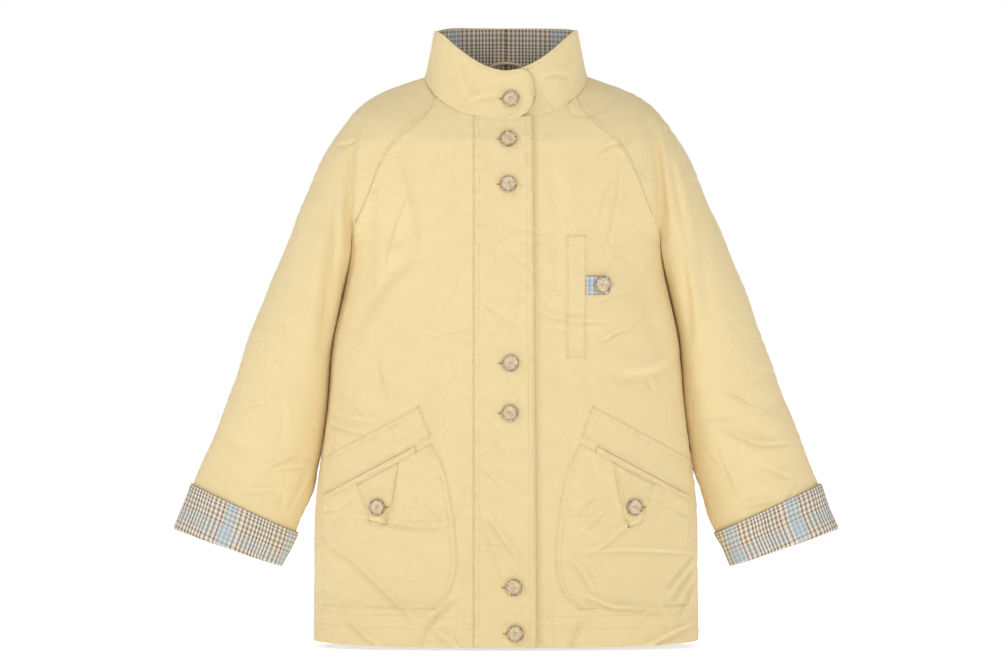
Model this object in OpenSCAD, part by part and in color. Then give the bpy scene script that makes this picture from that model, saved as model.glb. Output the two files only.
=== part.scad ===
// Stand-collar jacket with a lapped, buttoned front, raglan sleeves and turned-back cuffs.
// X runs across the wearer (wearer's right is -X), the front faces -Y and +Z is up.
// The origin is the middle of the hanger loop, at the inside back of the neck.

/* [Body] */
// Height of the hem below the hanger loop
hem_drop = 750; // [600:1:900]
// Half the width of the hem
hem_half_w = 250; // [240:1:300]
// Half the width at the hip, where the sleeve leaves the side
hip_half_w = 248; // [240:1:290]
// Half the width at the waist
waist_half_w = 230; // [222:1:270]
// Half the width of the chest, measured through the sleeve head
chest_half_w = 226; // [215:1:245]
// Distance from the middle to the plane of each armhole
shoulder_half = 200; // [180:1:205]
// Half the depth of the body, front to back
body_half_d = 105; // [90:1:130]
// Roundness of the body section, 2 for an ellipse
section_power = 2.5; // [2:0.1:3.5]

/* [Neck and collar] */
// Half the width of the neck seam
neck_half_w = 105; // [90:1:115]
// Half the depth of the neck seam
neck_half_d = 76; // [65:1:90]
// How far the collar leans in over its height
collar_lean = 12; // [0:1:20]
// Height of the collar top above the origin
collar_top = 52; // [35:1:70]
// Dip of the collar top at the middle of the front
collar_dip = 61; // [20:1:70]
// Length of the lapped collar end past the middle
collar_lap = 38; // [25:1:45]
// Width of the hanger loop between its sewn ends
loop_w = 64; // [45:1:90]
// Rise of the hanger loop above its sewn ends
loop_rise = 15; // [12:1:25]
// Thickness of the loop's piping
loop_d = 4; // [3:0.5:6]

/* [Front] */
// Distance of the front band's seam from the middle
band_seam = 42; // [35:1:50]
// Lap of the front band past the middle
band_lap = 36; // [28:1:45]
// Distance of the front's fold line from the middle, at the neck
fold_top = 56; // [52:1:58]
// Distance of the front's fold line from the middle, at the hem
fold_hem = 92; // [80:1:96]
// Depth of the hem turned up inside
hem_turn = 48; // [30:1:70]

/* [Sleeves] */
// Height of the shoulder point below the origin
shoulder_drop = 60; // [50:1:75]
// Height of the armhole, top to bottom
armhole_h = 180; // [160:1:200]
// Half the depth of the armhole
armhole_half_d = 57; // [45:1:62]
// Flat width of the sleeve end
wrist_w = 142; // [120:1:160]
// Half the depth of the sleeve end
wrist_half_d = 28; // [20:1:36]
// Height of the turned-back cuff
cuff_h = 62; // [40:1:80]
// Gap between the side of the body and the sleeve
sleeve_gap = 5; // [3:0.5:12]

/* [Pockets] */
// Inner end of the lower pocket mouth, from the middle
mouth_in = 119; // [117:1:130]
// Outer end of the lower pocket mouth, from the middle
mouth_out = 236; // [215:1:238]
// Height of the inner end of the mouth above the hem
mouth_in_h = 257; // [230:1:280]
// Height of the outer end of the mouth above the hem
mouth_out_h = 194; // [175:1:215]
// Width of the lower pocket's welt
welt_w = 12; // [8:1:16]
// Distance of the chest pocket from the middle
chest_pocket_x = 77; // [70:1:95]
// Width of the chest pocket's welt
chest_welt_w = 26; // [18:1:32]
// Length of the chest pocket's welt
chest_welt_h = 158; // [120:1:180]

/* [Buttons and cloth] */
// Diameter of every button
button_d = 22; // [18:0.5:24]
// Thickness of a button
button_t = 3.4; // [2.5:0.1:4.5]
// Diameter of the thread shank under a button
shank_d = 3; // [2:0.5:4]
// Thickness of the outer cloth
cloth = 1.2; // [0.8:0.1:1.6]
// Thickness of the lining
lining = 0.8; // [0.5:0.1:1.2]
// Gap between the outer cloth and the lining
layer_gap = 1.6; // [1.4:0.1:2]

/* [Hidden] */

right = -1;
left = 1;
front = 1;
back = -1;
fabric = [0.93, 0.85, 0.65];
plaid = [0.70, 0.64, 0.53];
horn = [0.78, 0.66, 0.48];
white = [0.93, 0.92, 0.88];
thread = [0.86, 0.77, 0.57];

// Surface levels, measured outwards from the face of the body cloth
shell_out = 0;
shell_in = -cloth;
lining_out = shell_in - layer_gap;
lining_in = lining_out - lining;
turned_out = shell_in - 0.6;
turned_in = turned_out - cloth;
lap_rise = 1.5 - turned_in;
patch_in = 1.6;
patch_out = patch_in + cloth;
tab_in = patch_out + 0.8;
tab_out = tab_in + cloth;
button_gap = 0.8;
seam_gap = 0.8;
seam_turn = 0.25;
slot_h = shank_d + 2;

function mix(a, b, t) = a + (b - a) * t;
function power(v, p) = sign(v) * pow(abs(v), p);
function unit(v) = v / norm(v);

// Stations of the body, from the neck seam at 0 down to the hem. Below yoke a station is a height.
yoke = -100;
underarm_z = -shoulder_drop - armhole_h;
shoulder_low = underarm_z + 34;
neck_side_z = -21;
neck_front_z = -70;
neck_back_z = -8;
hip_z = -hem_drop + 186;
waist_z = (underarm_z + hip_z) / 2 - 32;
lining_low = -hem_drop + hem_turn + 2;
levels = [-hem_drop, lining_low, (lining_low + hip_z) / 2, hip_z, (hip_z + waist_z) / 2, waist_z,
    mix(underarm_z, waist_z, 0.6), underarm_z - 50, underarm_z, shoulder_low, mix(shoulder_low, yoke, 0.34),
    mix(shoulder_low, yoke, 0.6), mix(shoulder_low, yoke, 0.82), yoke, -80, -60, -40, -20, 0];
level_lining = 1;
level_shoulder = 9;
level_last = len(levels) - 1;
// The station a share v of the way up from one level's number to the last
function station(v, first = 0) = let (k = mix(first, level_last, v),
    i = max(first, min(floor(k), level_last - 1))) mix(levels[i], levels[i + 1], k - i);
function half_w(u) = lookup(u, [[-hem_drop, hem_half_w], [hip_z, hip_half_w], [waist_z, waist_half_w],
    [mix(underarm_z, waist_z, 0.6), waist_half_w - 3], [underarm_z - 50, shoulder_half + 9],
    [underarm_z, shoulder_half + 1],
    [underarm_z + 90, chest_half_w], [yoke, chest_half_w - 6], [-60, shoulder_half],
    [-30, mix(shoulder_half, neck_half_w, 0.37)], [0, neck_half_w]]);
function half_d(u, face) = lookup(u, [[-hem_drop, body_half_d + 7], [waist_z, body_half_d],
    [-200, body_half_d - (face == front ? 1 : 5)], [yoke, body_half_d - (face == front ? 14 : 15)],
    [0, face == front ? neck_half_d + 2 : neck_half_d - 6]]);
function side_z(u) = lookup(u, [[-hem_drop, -hem_drop + 5], [-hem_drop + 100, -hem_drop + 100],
    [yoke, yoke], [-60, -shoulder_drop], [-30, mix(-shoulder_drop, neck_side_z, 0.58)], [0, neck_side_z]]);
function mid_z(u, face) = lookup(u, [[-hem_drop, -hem_drop], [yoke, yoke],
    [0, face == front ? neck_front_z : neck_back_z]]);
function lift(u, angle, face) = mix(side_z(u), mid_z(u, face), pow(abs(sin(angle)), 1.3));

// A point on the body: angle is 0 at the side, 90 at the middle of the front and -90 at the back
function body_point(side, u, angle) = [
    side * half_w(u) * power(cos(angle), 2 / section_power),
    -half_d(u, angle < 0 ? back : front) * power(sin(angle), 2 / section_power),
    lift(u, angle, angle < 0 ? back : front)];
// The angle at which a station is x away from the middle
function angle_at(x, u) = acos(pow(min(1, abs(x) / half_w(u)), section_power / 2));
// A point on the front, by its distance across
function front_point(x, u) = body_point(x < 0 ? right : left, u, max(0.01, angle_at(x, u)));

function raglan_x(u) = lookup(u, [[underarm_z + 25, shoulder_half], [yoke - 25, shoulder_half - 39],
    [yoke, shoulder_half - 58], [0, neck_half_w - 15]]);
function armhole_angle(u) = u < underarm_z ? 0 : angle_at(shoulder_half, u);
function raglan_angle(u) = u < underarm_z + 25 ? armhole_angle(u) : angle_at(raglan_x(u), u);
function fold_x(u) = mix(fold_top, fold_hem, -u / hem_drop);
function fold_angle(u) = angle_at(fold_x(u), u);

// Points of a sheet: rows along v, columns along u, pushed level along the sheet's normal
function sheet_normal(f, u, v, flip) =
    flip * unit(cross(f(u + 0.004, v) - f(u - 0.004, v), f(u, v + 0.004) - f(u, v - 0.004)));
function sheet_points(f, columns, rows, level, flip) = [for (j = [0:rows]) for (i = [0:columns])
    f(i / columns, j / rows) + level * sheet_normal(f, i / columns, j / rows, flip)];

// A closed solid between two levels of a sheet f(u, v), with u and v from 0 to 1
module sheet(f, columns, rows, inner, outer, flip = 1) {
    wide = columns + 1;
    far = wide * (rows + 1);
    points = concat(sheet_points(f, columns, rows, outer, flip), sheet_points(f, columns, rows, inner, flip));
    rim = concat([for (i = [0:columns]) i], [for (j = [1:rows]) j * wide + columns],
        [for (i = [1:columns]) rows * wide + columns - i], [for (j = [1:rows - 1]) (rows - j) * wide]);
    top = [for (j = [0:rows - 1]) for (i = [0:columns - 1]) let (a = j * wide + i)
        each [[a, a + wide + 1, a + 1], [a, a + wide, a + wide + 1]]];
    bottom = [for (t = top) [t[0] + far, t[2] + far, t[1] + far]];
    edge = [for (k = [0:len(rim) - 1]) let (a = rim[k], b = rim[(k + 1) % len(rim)])
        each [[a, b, b + far], [a, b + far, a + far]]];
    faces = concat(top, bottom, edge);
    polyhedron(points, flip > 0 ? faces : [for (t = faces) [t[0], t[2], t[1]]]);
}

// A closed solid between two levels of a tube f(u, v), with u running once round
module tube(f, columns, rows, inner, outer, flip = 1) {
    ring = function(k, j) (k % columns) + j * columns;
    far = columns * (rows + 1);
    around = function(level) [for (j = [0:rows]) for (i = [0:columns - 1])
        f(i / columns, j / rows) + level * sheet_normal(f, i / columns, j / rows, flip)];
    points = concat(around(outer), around(inner));
    top = [for (j = [0:rows - 1]) for (i = [0:columns - 1]) each [
        [ring(i, j), ring(i + 1, j + 1), ring(i + 1, j)], [ring(i, j), ring(i, j + 1), ring(i + 1, j + 1)]]];
    bottom = [for (t = top) [t[0] + far, t[2] + far, t[1] + far]];
    ends = [for (i = [0:columns - 1]) each [
        [ring(i, 0), ring(i + 1, 0), ring(i + 1, 0) + far],
        [ring(i, 0), ring(i + 1, 0) + far, ring(i, 0) + far],
        [ring(i, rows), ring(i + 1, rows) + far, ring(i + 1, rows)],
        [ring(i, rows), ring(i, rows) + far, ring(i + 1, rows) + far]]];
    faces = concat(top, bottom, ends);
    polyhedron(points, flip > 0 ? faces : [for (t = faces) [t[0], t[2], t[1]]]);
}

// Body panels run from one edge angle to another, upwards from one of the levels
module panel(side, from, to, first, inner, outer, columns) {
    f = function(u, v) let (s = station(v, first))
        body_point(side, s, mix(from(s) + seam_turn, to(s) - seam_turn, u));
    sheet(f, columns, level_last - first, inner, outer, -side);
}
// A back piece runs from the right edge round to the left one
module back_piece(first, inner, outer) {
    f = function(u, v) let (s = station(v, first), edge = min(-0.4, -raglan_angle(s) - seam_turn))
        body_point(u < 0.5 ? right : left, s, mix(edge, -90, 1 - abs(1 - 2 * u)));
    sheet(f, 20, level_last - first, inner, outer, -1);
}
// A front piece runs from one distance across to another, by functions of the station
module front_piece(from, to, first, inner, outer, columns) {
    f = function(u, v) let (s = station(v, first)) front_point(mix(from(s), to(s), u), s);
    sheet(f, columns, level_last - first, inner, outer);
}

module back_panel() color(fabric) back_piece(0, shell_in, shell_out);
module front_side(side) {
    from = function(u) raglan_angle(u);
    to = function(u) fold_angle(u);
    color(fabric) panel(side, from, to, 0, shell_in, shell_out, 10);
}
module shoulder_half_piece(side, face, inner, outer) {
    edge = function(u) face * armhole_angle(u);
    seam = function(u) face * raglan_angle(u);
    if (face == front) panel(side, edge, seam, level_shoulder, inner, outer, 4);
    else panel(side, seam, edge, level_shoulder, inner, outer, 4);
}
module shoulder_front(side) color(fabric) shoulder_half_piece(side, front, shell_in, shell_out);
module shoulder_back(side) color(fabric) shoulder_half_piece(side, back, shell_in, shell_out);

// Lining, which stops at the turned-up hem
module lining_back() color(plaid) back_piece(level_lining, lining_in, lining_out);
module lining_side(side) {
    from = function(u) raglan_angle(u);
    to = function(u) fold_angle(u);
    color(plaid) panel(side, from, to, level_lining, lining_in, lining_out, 10);
}
module lining_shoulder(side) {
    color(plaid) {
        shoulder_half_piece(side, front, lining_in, lining_out);
        shoulder_half_piece(side, back, lining_in, lining_out);
    }
}
module hem_turn_up() {
    f = function(u, v) let (s = mix(-hem_drop + 1, -hem_drop + hem_turn, v), edge = fold_angle(s) - seam_gap)
        body_point(u < 0.5 ? right : left, s, mix(edge, -90, 1 - abs(1 - 2 * u)));
    color(fabric) sheet(f, 36, 3, turned_in, turned_out, -1);
}

// Collar: v runs from the neck seam at 0 to the top edge at 1
function collar_top_z(x, angle) = angle < 0 ? collar_top
    : collar_top - collar_dip * (1 - pow(min(1, abs(x) / (neck_half_w - collar_lean)), 1.8));
function collar_point(side, angle, v) = let (face = angle < 0 ? back : front,
    w = neck_half_w - collar_lean * v,
    d = half_d(0, face) - collar_lean * v,
    x = side * w * power(cos(angle), 2 / section_power),
    y = -d * power(sin(angle), 2 / section_power))
    [x, y, mix(lift(0, angle, face) + 0.5, collar_top_z(x, angle), v)];
function collar_angle(x) = acos(pow(abs(x) / neck_half_w, section_power / 2));
function collar_front(x, v) = collar_point(x < 0 ? right : left, collar_angle(x), v);
module collar_round(low, high, inner, outer, tone) {
    edge = collar_angle(fold_top) - seam_gap;
    f = function(u, v) collar_point(u < 0.5 ? right : left,
        mix(edge, -90, 1 - abs(1 - 2 * u)), mix(low, high, v));
    color(tone) sheet(f, 20, 4, inner, outer, -1);
}
module collar_back() collar_round(0, 1, shell_in, shell_out, fabric);
module collar_back_facing() collar_round(0.02, 0.97, turned_in, turned_out, plaid);

// The lapped pieces rise over the other front between lap_start and lap_full
lap_start = -band_seam - 5;
lap_full = -band_seam + 10;
function smooth(t) = let (c = max(0, min(1, t))) c * c * (3 - 2 * c);
function rise(x) = [0, -lap_rise * smooth((x - lap_start) / (lap_full - lap_start)), 0];
lap_round = 30;
function lap_share(x) = sqrt(max(0.05, 1 - pow(max(0, (x - collar_lap + lap_round) / lap_round), 2)));
module collar_lapped(inner, outer, trim, tone) {
    f = function(u, v) let (x = mix(-fold_top + seam_gap / 2, collar_lap - trim, u))
        collar_front(x, mix(0.5 - 0.48 * lap_share(x + trim), 0.5 + 0.5 * lap_share(x + trim), v)) + rise(x);
    color(tone) difference() {
        sheet(f, 12, 4, inner, outer, 1);
        button_slot(collar_front(collar_button_x, collar_button_v));
    }
}
module collar_end_right() collar_lapped(shell_in, shell_out, 0, fabric);
module collar_facing_right() collar_lapped(turned_in, turned_out, 2, plaid);
module collar_under(inner, outer, tone) {
    f = function(u, v) collar_front(mix(-18, fold_top - seam_gap / 2, u), mix(0.04, 0.98, v));
    color(tone) sheet(f, 6, 4, inner, outer, 1);
}
module collar_end_left() collar_under(shell_in, shell_out, fabric);
module collar_facing_left() collar_under(turned_in, turned_out, plaid);

// Fronts
function fold_in(u) = fold_x(u) - seam_gap / 2;
function band_edge(u) = band_lap - 3 + 6 * (-u / hem_drop);
module front_right() {
    from = function(u) -fold_in(u);
    to = function(u) -band_seam - seam_gap;
    color(fabric) front_piece(from, to, 0, shell_in, shell_out, 2);
}
module lapped_front(from, trim, inner, outer) {
    f = function(u, v) let (s = station(v) + mix(trim, -4, v), x = mix(from, band_edge(s) - trim, u))
        front_point(x, s) + rise(x);
    color(fabric) difference() {
        sheet(f, 6, level_last, inner, outer);
        for (b = button_places) button_slot(front_point(b[0], b[1]));
    }
}
module front_band() lapped_front(-band_seam, 0, shell_in, shell_out);
module front_facing_right() lapped_front(-band_seam + 1, 1.5, turned_in, turned_out);
module lining_front_right() {
    from = function(u) -fold_in(u);
    to = function(u) -band_seam - 1;
    color(plaid) front_piece(from, to, level_lining, lining_in, lining_out, 2);
}
under_edge = -32;
module front_left() {
    from = function(u) under_edge;
    to = function(u) fold_in(u);
    color(fabric) front_piece(from, to, 0, shell_in, shell_out, 6);
}
module front_facing_left() {
    from = function(u) under_edge + 1;
    to = function(u) band_seam;
    color(fabric) front_piece(from, to, 0, turned_in, turned_out, 6);
}
module lining_front_left() {
    from = function(u) band_seam + 1;
    to = function(u) fold_in(u);
    color(plaid) front_piece(from, to, level_lining, lining_in, lining_out, 2);
}

// Sleeves: v runs from the armhole at 0 to the wrist at 1, u once round from the outer edge by the front
wrist_out = [shoulder_half + 232, -shoulder_drop - 539];
wrist_in = wrist_out + wrist_w * unit([-136, -51]);
sleeve_line = wrist_out - [shoulder_half, -shoulder_drop];
sleeve_len = norm(sleeve_line);
function sleeve_outer(v) = [shoulder_half + 4, -shoulder_drop - 2] + v * sleeve_line
    + lookup(v, [[0, 0], [0.05, 8], [0.15, 13], [0.3, 14], [0.5, 11], [0.75, 2], [1, 0]])
    * [-sleeve_line[1], sleeve_line[0]] / sleeve_len;
function sleeve_inner(v) = let (z = mix(underarm_z, wrist_in[1], v))
    [max(half_w(z) + sleeve_gap, wrist_in[0] - (z - wrist_in[1]) * 0.475), z];
function sleeve_half_d(v) = lookup(v, [[0, armhole_half_d], [0.15, armhole_half_d + 5],
    [0.35, armhole_half_d + 3], [0.6, mix(armhole_half_d, wrist_half_d, 0.35)],
    [0.85, mix(armhole_half_d, wrist_half_d, 0.85)], [1, wrist_half_d]]);
function sleeve_point(side, angle, v) = let (o = sleeve_outer(v), i = sleeve_inner(v),
    c = (o + i) / 2 + (o - i) / 2 * cos(angle))
    [side * c[0], -sleeve_half_d(v) * sin(angle), c[1]];
module sleeve_half(side, face) {
    f = function(u, v) sleeve_point(side, face * mix(1, 179, u), v);
    color(fabric) sheet(f, 10, 12, shell_in, shell_out, side * face);
}
module sleeve_lining(side) {
    f = function(u, v) sleeve_point(side, 360 * u, v * 11 / 12);
    color(plaid) tube(f, 20, 11, lining_in, lining_out, side);
}
cuff_gap = 0.6;
module cuff(side) {
    f = function(u, v) sleeve_point(side, 360 * u, mix(1 - cuff_h / sleeve_len, 1, v));
    color(plaid) tube(f, 28, 3, cuff_gap, cuff_gap + cloth + lining, side);
}

// Lower pockets: patches with a slanted mouth, a welt along it and a buttoned tab below it
patch_low = -hem_drop + hem_turn;
function mouth_z(x) = -hem_drop + mix(mouth_in_h, mouth_out_h, (x - mouth_in) / (mouth_out - mouth_in));
function patch_edge(v) = lookup(v, [[0, mouth_in - 27], [0.06, mouth_in - 47], [0.25, mouth_in - 58],
    [0.55, mouth_in - 52], [0.8, mouth_in - 42], [1, mouth_in - 24]]);
function side_point(side, x, z) = body_point(side, z, angle_at(x, z));
welt_clear = welt_w / 2 + 0.6;
module pocket(side) {
    f = function(u, v) let (x = mix(patch_edge(v), mouth_out, u))
        side_point(side, x, mix(patch_low, mouth_z(x) - welt_clear, v));
    color(fabric) sheet(f, 14, 10, patch_in, patch_out, side);
}
top_h = 48;
module pocket_top(side) {
    f = function(u, v) let (x = mix(mouth_in - 6, mouth_out, u))
        side_point(side, x, mouth_z(x) + mix(welt_clear, top_h, v));
    color(fabric) sheet(f, 12, 3, patch_in, patch_out, side);
}
module pocket_welt(side) {
    f = function(u, v) let (x = mix(mouth_in, mouth_out, u))
        side_point(side, x, mouth_z(x) + mix(-welt_w / 2, welt_w / 2, v));
    color(fabric) sheet(f, 8, 2, patch_in, patch_out + 0.4, side);
}
tab_middle = mouth_in + 45;
tab_top_half_w = 27;
tab_end_half_w = 11;
tab_drop = 73;
tab_button_drop = 54;
module pocket_tab(side) {
    f = function(u, v) let (x = tab_middle + mix(tab_end_half_w, tab_top_half_w, v) * (2 * u - 1))
        side_point(side, x, mouth_z(mix(tab_middle, x, v)) - welt_w / 2 - 1 - mix(tab_drop - 7, 0, v));
    color(fabric) difference() {
        sheet(f, 4, 4, tab_in, tab_out, side);
        button_slot(tab_button_place(side));
    }
}
function tab_button_place(side) = side_point(side, tab_middle, mouth_z(tab_middle) - tab_button_drop);

// Chest pocket: an upright welt, the bag behind it and a short tab
chest_top_z = -222;
chest_tab_z = -286;
chest_tab_h = 24;
chest_tab_w = 35;
module chest_welt() {
    f = function(u, v) side_point(left, chest_pocket_x + chest_welt_w * u,
        chest_top_z - chest_welt_h * (1 - v));
    color(fabric) sheet(f, 2, 6, patch_in, patch_out, left);
}
bag_middle_z = chest_top_z - 56;
bag_w = 76;
bag_h = 88;
module chest_pocket_bag() {
    f = function(u, v) let (z = bag_middle_z + mix(-bag_h + 4, 42, v))
        side_point(left, chest_pocket_x + chest_welt_w
            + bag_w * sqrt(1 - pow((z - bag_middle_z) / bag_h, 2)) * u, z);
    color(plaid) sheet(f, 10, 10, shell_in - 1.4, shell_in - 0.9, left);
}
tab_start = chest_pocket_x + chest_welt_w + 1;
module chest_tab() {
    f = function(u, v) side_point(left, tab_start + u * (chest_tab_w - 7 * abs(2 * v - 1)),
        chest_tab_z + chest_tab_h * (v - 0.5));
    color(plaid) difference() {
        sheet(f, 4, 4, patch_in, patch_out, left);
        button_slot(chest_button_place);
    }
}
chest_button_place = side_point(left, tab_start + 19, chest_tab_z);

// Buttons lie on the cloth, held by a shank of thread through the buttonhole
button_places = [[3, -96], [3, -157], [6, waist_z + 48], [5, waist_z - 16],
    [10, -hem_drop + 77], [12, -hem_drop + 18]];
collar_button_x = 6;
collar_button_v = 0.42;
module facing_out(at, normal, level) {
    translate(at + level * normal) rotate([0, acos(normal[2]), atan2(normal[1], normal[0])]) children();
}
function body_normal(at) = let (w = half_w(at[2]), d = half_d(at[2], front), p = section_power - 1)
    unit([sign(at[0]) * pow(abs(at[0]) / w, p) / w, -pow(abs(at[1]) / d, p) / d, 0]);
module button() {
    rim = 1.6;
    hole_d = 2;
    hole_r = 2.6;
    dish = 0.9;
    difference() {
        rotate_extrude($fn = 48) polygon([[0, 0], [button_d / 2 - 1.2, 0], [button_d / 2, 1.2],
            [button_d / 2, button_t - 0.6], [button_d / 2 - 0.6, button_t], [button_d / 2 - rim, button_t],
            [button_d / 2 - rim - 1, button_t - dish], [0, button_t - dish]]);
        for (turn = [45:90:315]) rotate(turn) translate([hole_r, 0, -1])
            cylinder(d = hole_d, h = button_t + 2, $fn = 16);
    }
}
module shank(from, to) translate([0, 0, from]) cylinder(d = shank_d, h = to - from, $fn = 24);
module button_slot(at) {
    translate(at + [-button_d * 0.35, 0, 0]) cube([button_d + 3, 24, slot_h], center = true);
}
function front_normal(b) = let (r = button_d / 2)
    unit(cross(front_point(b[0] + r, b[1]) - front_point(b[0] - r, b[1]),
    front_point(b[0], b[1] + r) - front_point(b[0], b[1] - r)));
front_button_level = lap_rise + button_gap;
module front_buttons() {
    color(horn) for (b = button_places)
        facing_out(front_point(b[0], b[1]), front_normal(b), front_button_level) button();
}
module collar_button() {
    color(horn) facing_out(collar_front(collar_button_x, collar_button_v), collar_normal, front_button_level)
        button();
}
collar_normal = unit([0, -60, 12]);
module front_button_threads() {
    color(thread) {
        for (b = button_places)
            facing_out(front_point(b[0], b[1]), front_normal(b), 0) shank(0.8, front_button_level - 0.1);
        facing_out(collar_front(collar_button_x, collar_button_v), collar_normal, 0)
            shank(0.6, front_button_level - 0.1);
    }
}
module pocket_buttons() {
    color(horn) for (side = [right, left]) let (at = tab_button_place(side))
        facing_out(at, body_normal(at), tab_out + button_gap) button();
}
module pocket_button_threads() {
    color(thread) for (side = [right, left]) let (at = tab_button_place(side))
        facing_out(at, body_normal(at), 0) shank(patch_out + 0.2, tab_out + button_gap - 0.1);
}
module chest_button() {
    color(horn) facing_out(chest_button_place, body_normal(chest_button_place), patch_out + button_gap)
        button();
}
module chest_button_thread() {
    color(thread) facing_out(chest_button_place, body_normal(chest_button_place), 0)
        shank(0.3, patch_out + button_gap - 0.1);
}

// Hanger loop: an arc of piping that leans forward from the back of the neck
loop_r = (pow(loop_w / 2, 2) + pow(loop_rise, 2)) / (2 * loop_rise);
loop_half_angle = asin(loop_w / 2 / loop_r);
loop_y = neck_half_d - 6 + turned_in - loop_d / 2 - 3;
loop_lean = 22;
module hanger_loop() {
    color(fabric) translate([0, loop_y, -loop_rise / 2]) rotate([90 + loop_lean, 0, 0])
        translate([0, loop_rise - loop_r, 0]) rotate(90 - loop_half_angle)
        rotate_extrude(angle = 2 * loop_half_angle, $fn = 96)
        translate([loop_r, 0]) circle(d = loop_d, $fn = 24);
}
label_w = 44;
label_h = 26;
module neck_label() {
    f = function(u, v) let (x = label_w * (u - 0.5), s = mix(-label_h, -3, v))
        body_point(x < 0 ? right : left, s, -angle_at(x, s));
    color(white) sheet(f, 4, 2, lining_in - 1.6, lining_in - 1.2, -1);
}

back_panel();
front_side(right);  // front_side_right
front_side(left);  // front_side_left
shoulder_front(right);  // shoulder_front_right
shoulder_front(left);  // shoulder_front_left
shoulder_back(right);  // shoulder_back_right
shoulder_back(left);  // shoulder_back_left
lining_back();
lining_side(right);  // lining_side_right
lining_side(left);  // lining_side_left
lining_shoulder(right);  // lining_shoulder_right
lining_shoulder(left);  // lining_shoulder_left
hem_turn_up();
collar_back();
collar_back_facing();
hanger_loop();
neck_label();
pocket(right);  // pocket_right
pocket(left);  // pocket_left
pocket_top(right);  // pocket_top_right
pocket_top(left);  // pocket_top_left
pocket_welt(right);  // pocket_welt_right
pocket_welt(left);  // pocket_welt_left
pocket_buttons();
pocket_button_threads();
chest_welt();
chest_pocket_bag();
chest_button();
chest_button_thread();
front_right();
front_band();
front_facing_right();
lining_front_right();
collar_end_right();
collar_facing_right();
front_left();
front_facing_left();
lining_front_left();
collar_end_left();
collar_facing_left();
front_buttons();
collar_button();
front_button_threads();
sleeve_half(right, front);  // sleeve_front_right
sleeve_half(right, back);  // sleeve_back_right
sleeve_lining(right);  // sleeve_lining_right
cuff(right);  // cuff_right
sleeve_half(left, front);  // sleeve_front_left
sleeve_half(left, back);  // sleeve_back_left
sleeve_lining(left);  // sleeve_lining_left
cuff(left);  // cuff_left
pocket_tab(right);  // pocket_tab_right
pocket_tab(left);  // pocket_tab_left
chest_tab();
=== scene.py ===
import math

import bpy
import numpy as np
from mathutils import Matrix, Vector


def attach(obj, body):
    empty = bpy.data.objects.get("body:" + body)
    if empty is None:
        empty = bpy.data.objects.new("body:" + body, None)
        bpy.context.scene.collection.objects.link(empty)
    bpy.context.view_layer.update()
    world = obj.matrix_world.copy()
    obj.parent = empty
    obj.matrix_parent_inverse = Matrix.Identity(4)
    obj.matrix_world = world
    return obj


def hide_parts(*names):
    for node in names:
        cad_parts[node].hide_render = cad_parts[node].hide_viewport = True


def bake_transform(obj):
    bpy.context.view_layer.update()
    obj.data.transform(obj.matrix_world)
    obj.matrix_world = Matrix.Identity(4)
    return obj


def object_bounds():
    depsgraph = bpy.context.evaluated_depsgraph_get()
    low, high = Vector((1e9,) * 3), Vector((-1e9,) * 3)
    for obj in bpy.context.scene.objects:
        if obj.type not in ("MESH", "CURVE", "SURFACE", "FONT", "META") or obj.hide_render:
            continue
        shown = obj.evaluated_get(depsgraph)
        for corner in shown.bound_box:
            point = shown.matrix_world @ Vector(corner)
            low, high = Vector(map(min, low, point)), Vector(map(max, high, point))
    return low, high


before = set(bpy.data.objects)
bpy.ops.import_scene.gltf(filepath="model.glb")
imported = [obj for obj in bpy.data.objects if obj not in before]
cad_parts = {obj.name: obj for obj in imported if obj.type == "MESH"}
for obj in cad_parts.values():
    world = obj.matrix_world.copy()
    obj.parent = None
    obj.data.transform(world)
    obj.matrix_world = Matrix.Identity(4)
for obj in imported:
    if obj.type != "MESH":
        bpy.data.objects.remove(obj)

cad_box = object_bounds()
MM = 0.001

# ---------------------------------------------------------------- camera, floor and light
FLOOR_Z = float(cad_box[0][2]) - 0.004
FLOOR_HALF = 50.0
VIEW_WIDTH = 1.3104
CAMERA_Y = -7.0
CAMERA_Z = -0.351


def make_camera():
    data = bpy.data.cameras.new("camera")
    data.sensor_width = 36
    data.lens = data.sensor_width * -CAMERA_Y / VIEW_WIDTH
    data.clip_end = 60
    camera = bpy.data.objects.new("camera", data)
    camera.location = (-0.0026, CAMERA_Y, CAMERA_Z)
    camera.rotation_euler = (math.radians(90), 0, 0)
    bpy.context.collection.objects.link(camera)
    bpy.context.scene.camera = camera


def area_light(name, place, target, size, watts):
    data = bpy.data.lights.new(name, "AREA")
    data.shape = "DISK"
    data.size = size
    data.energy = watts
    light = bpy.data.objects.new(name, data)
    light.location = place
    light.rotation_euler = (Vector(target) - Vector(place)).to_track_quat("-Z", "Y").to_euler()
    bpy.context.collection.objects.link(light)


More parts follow.
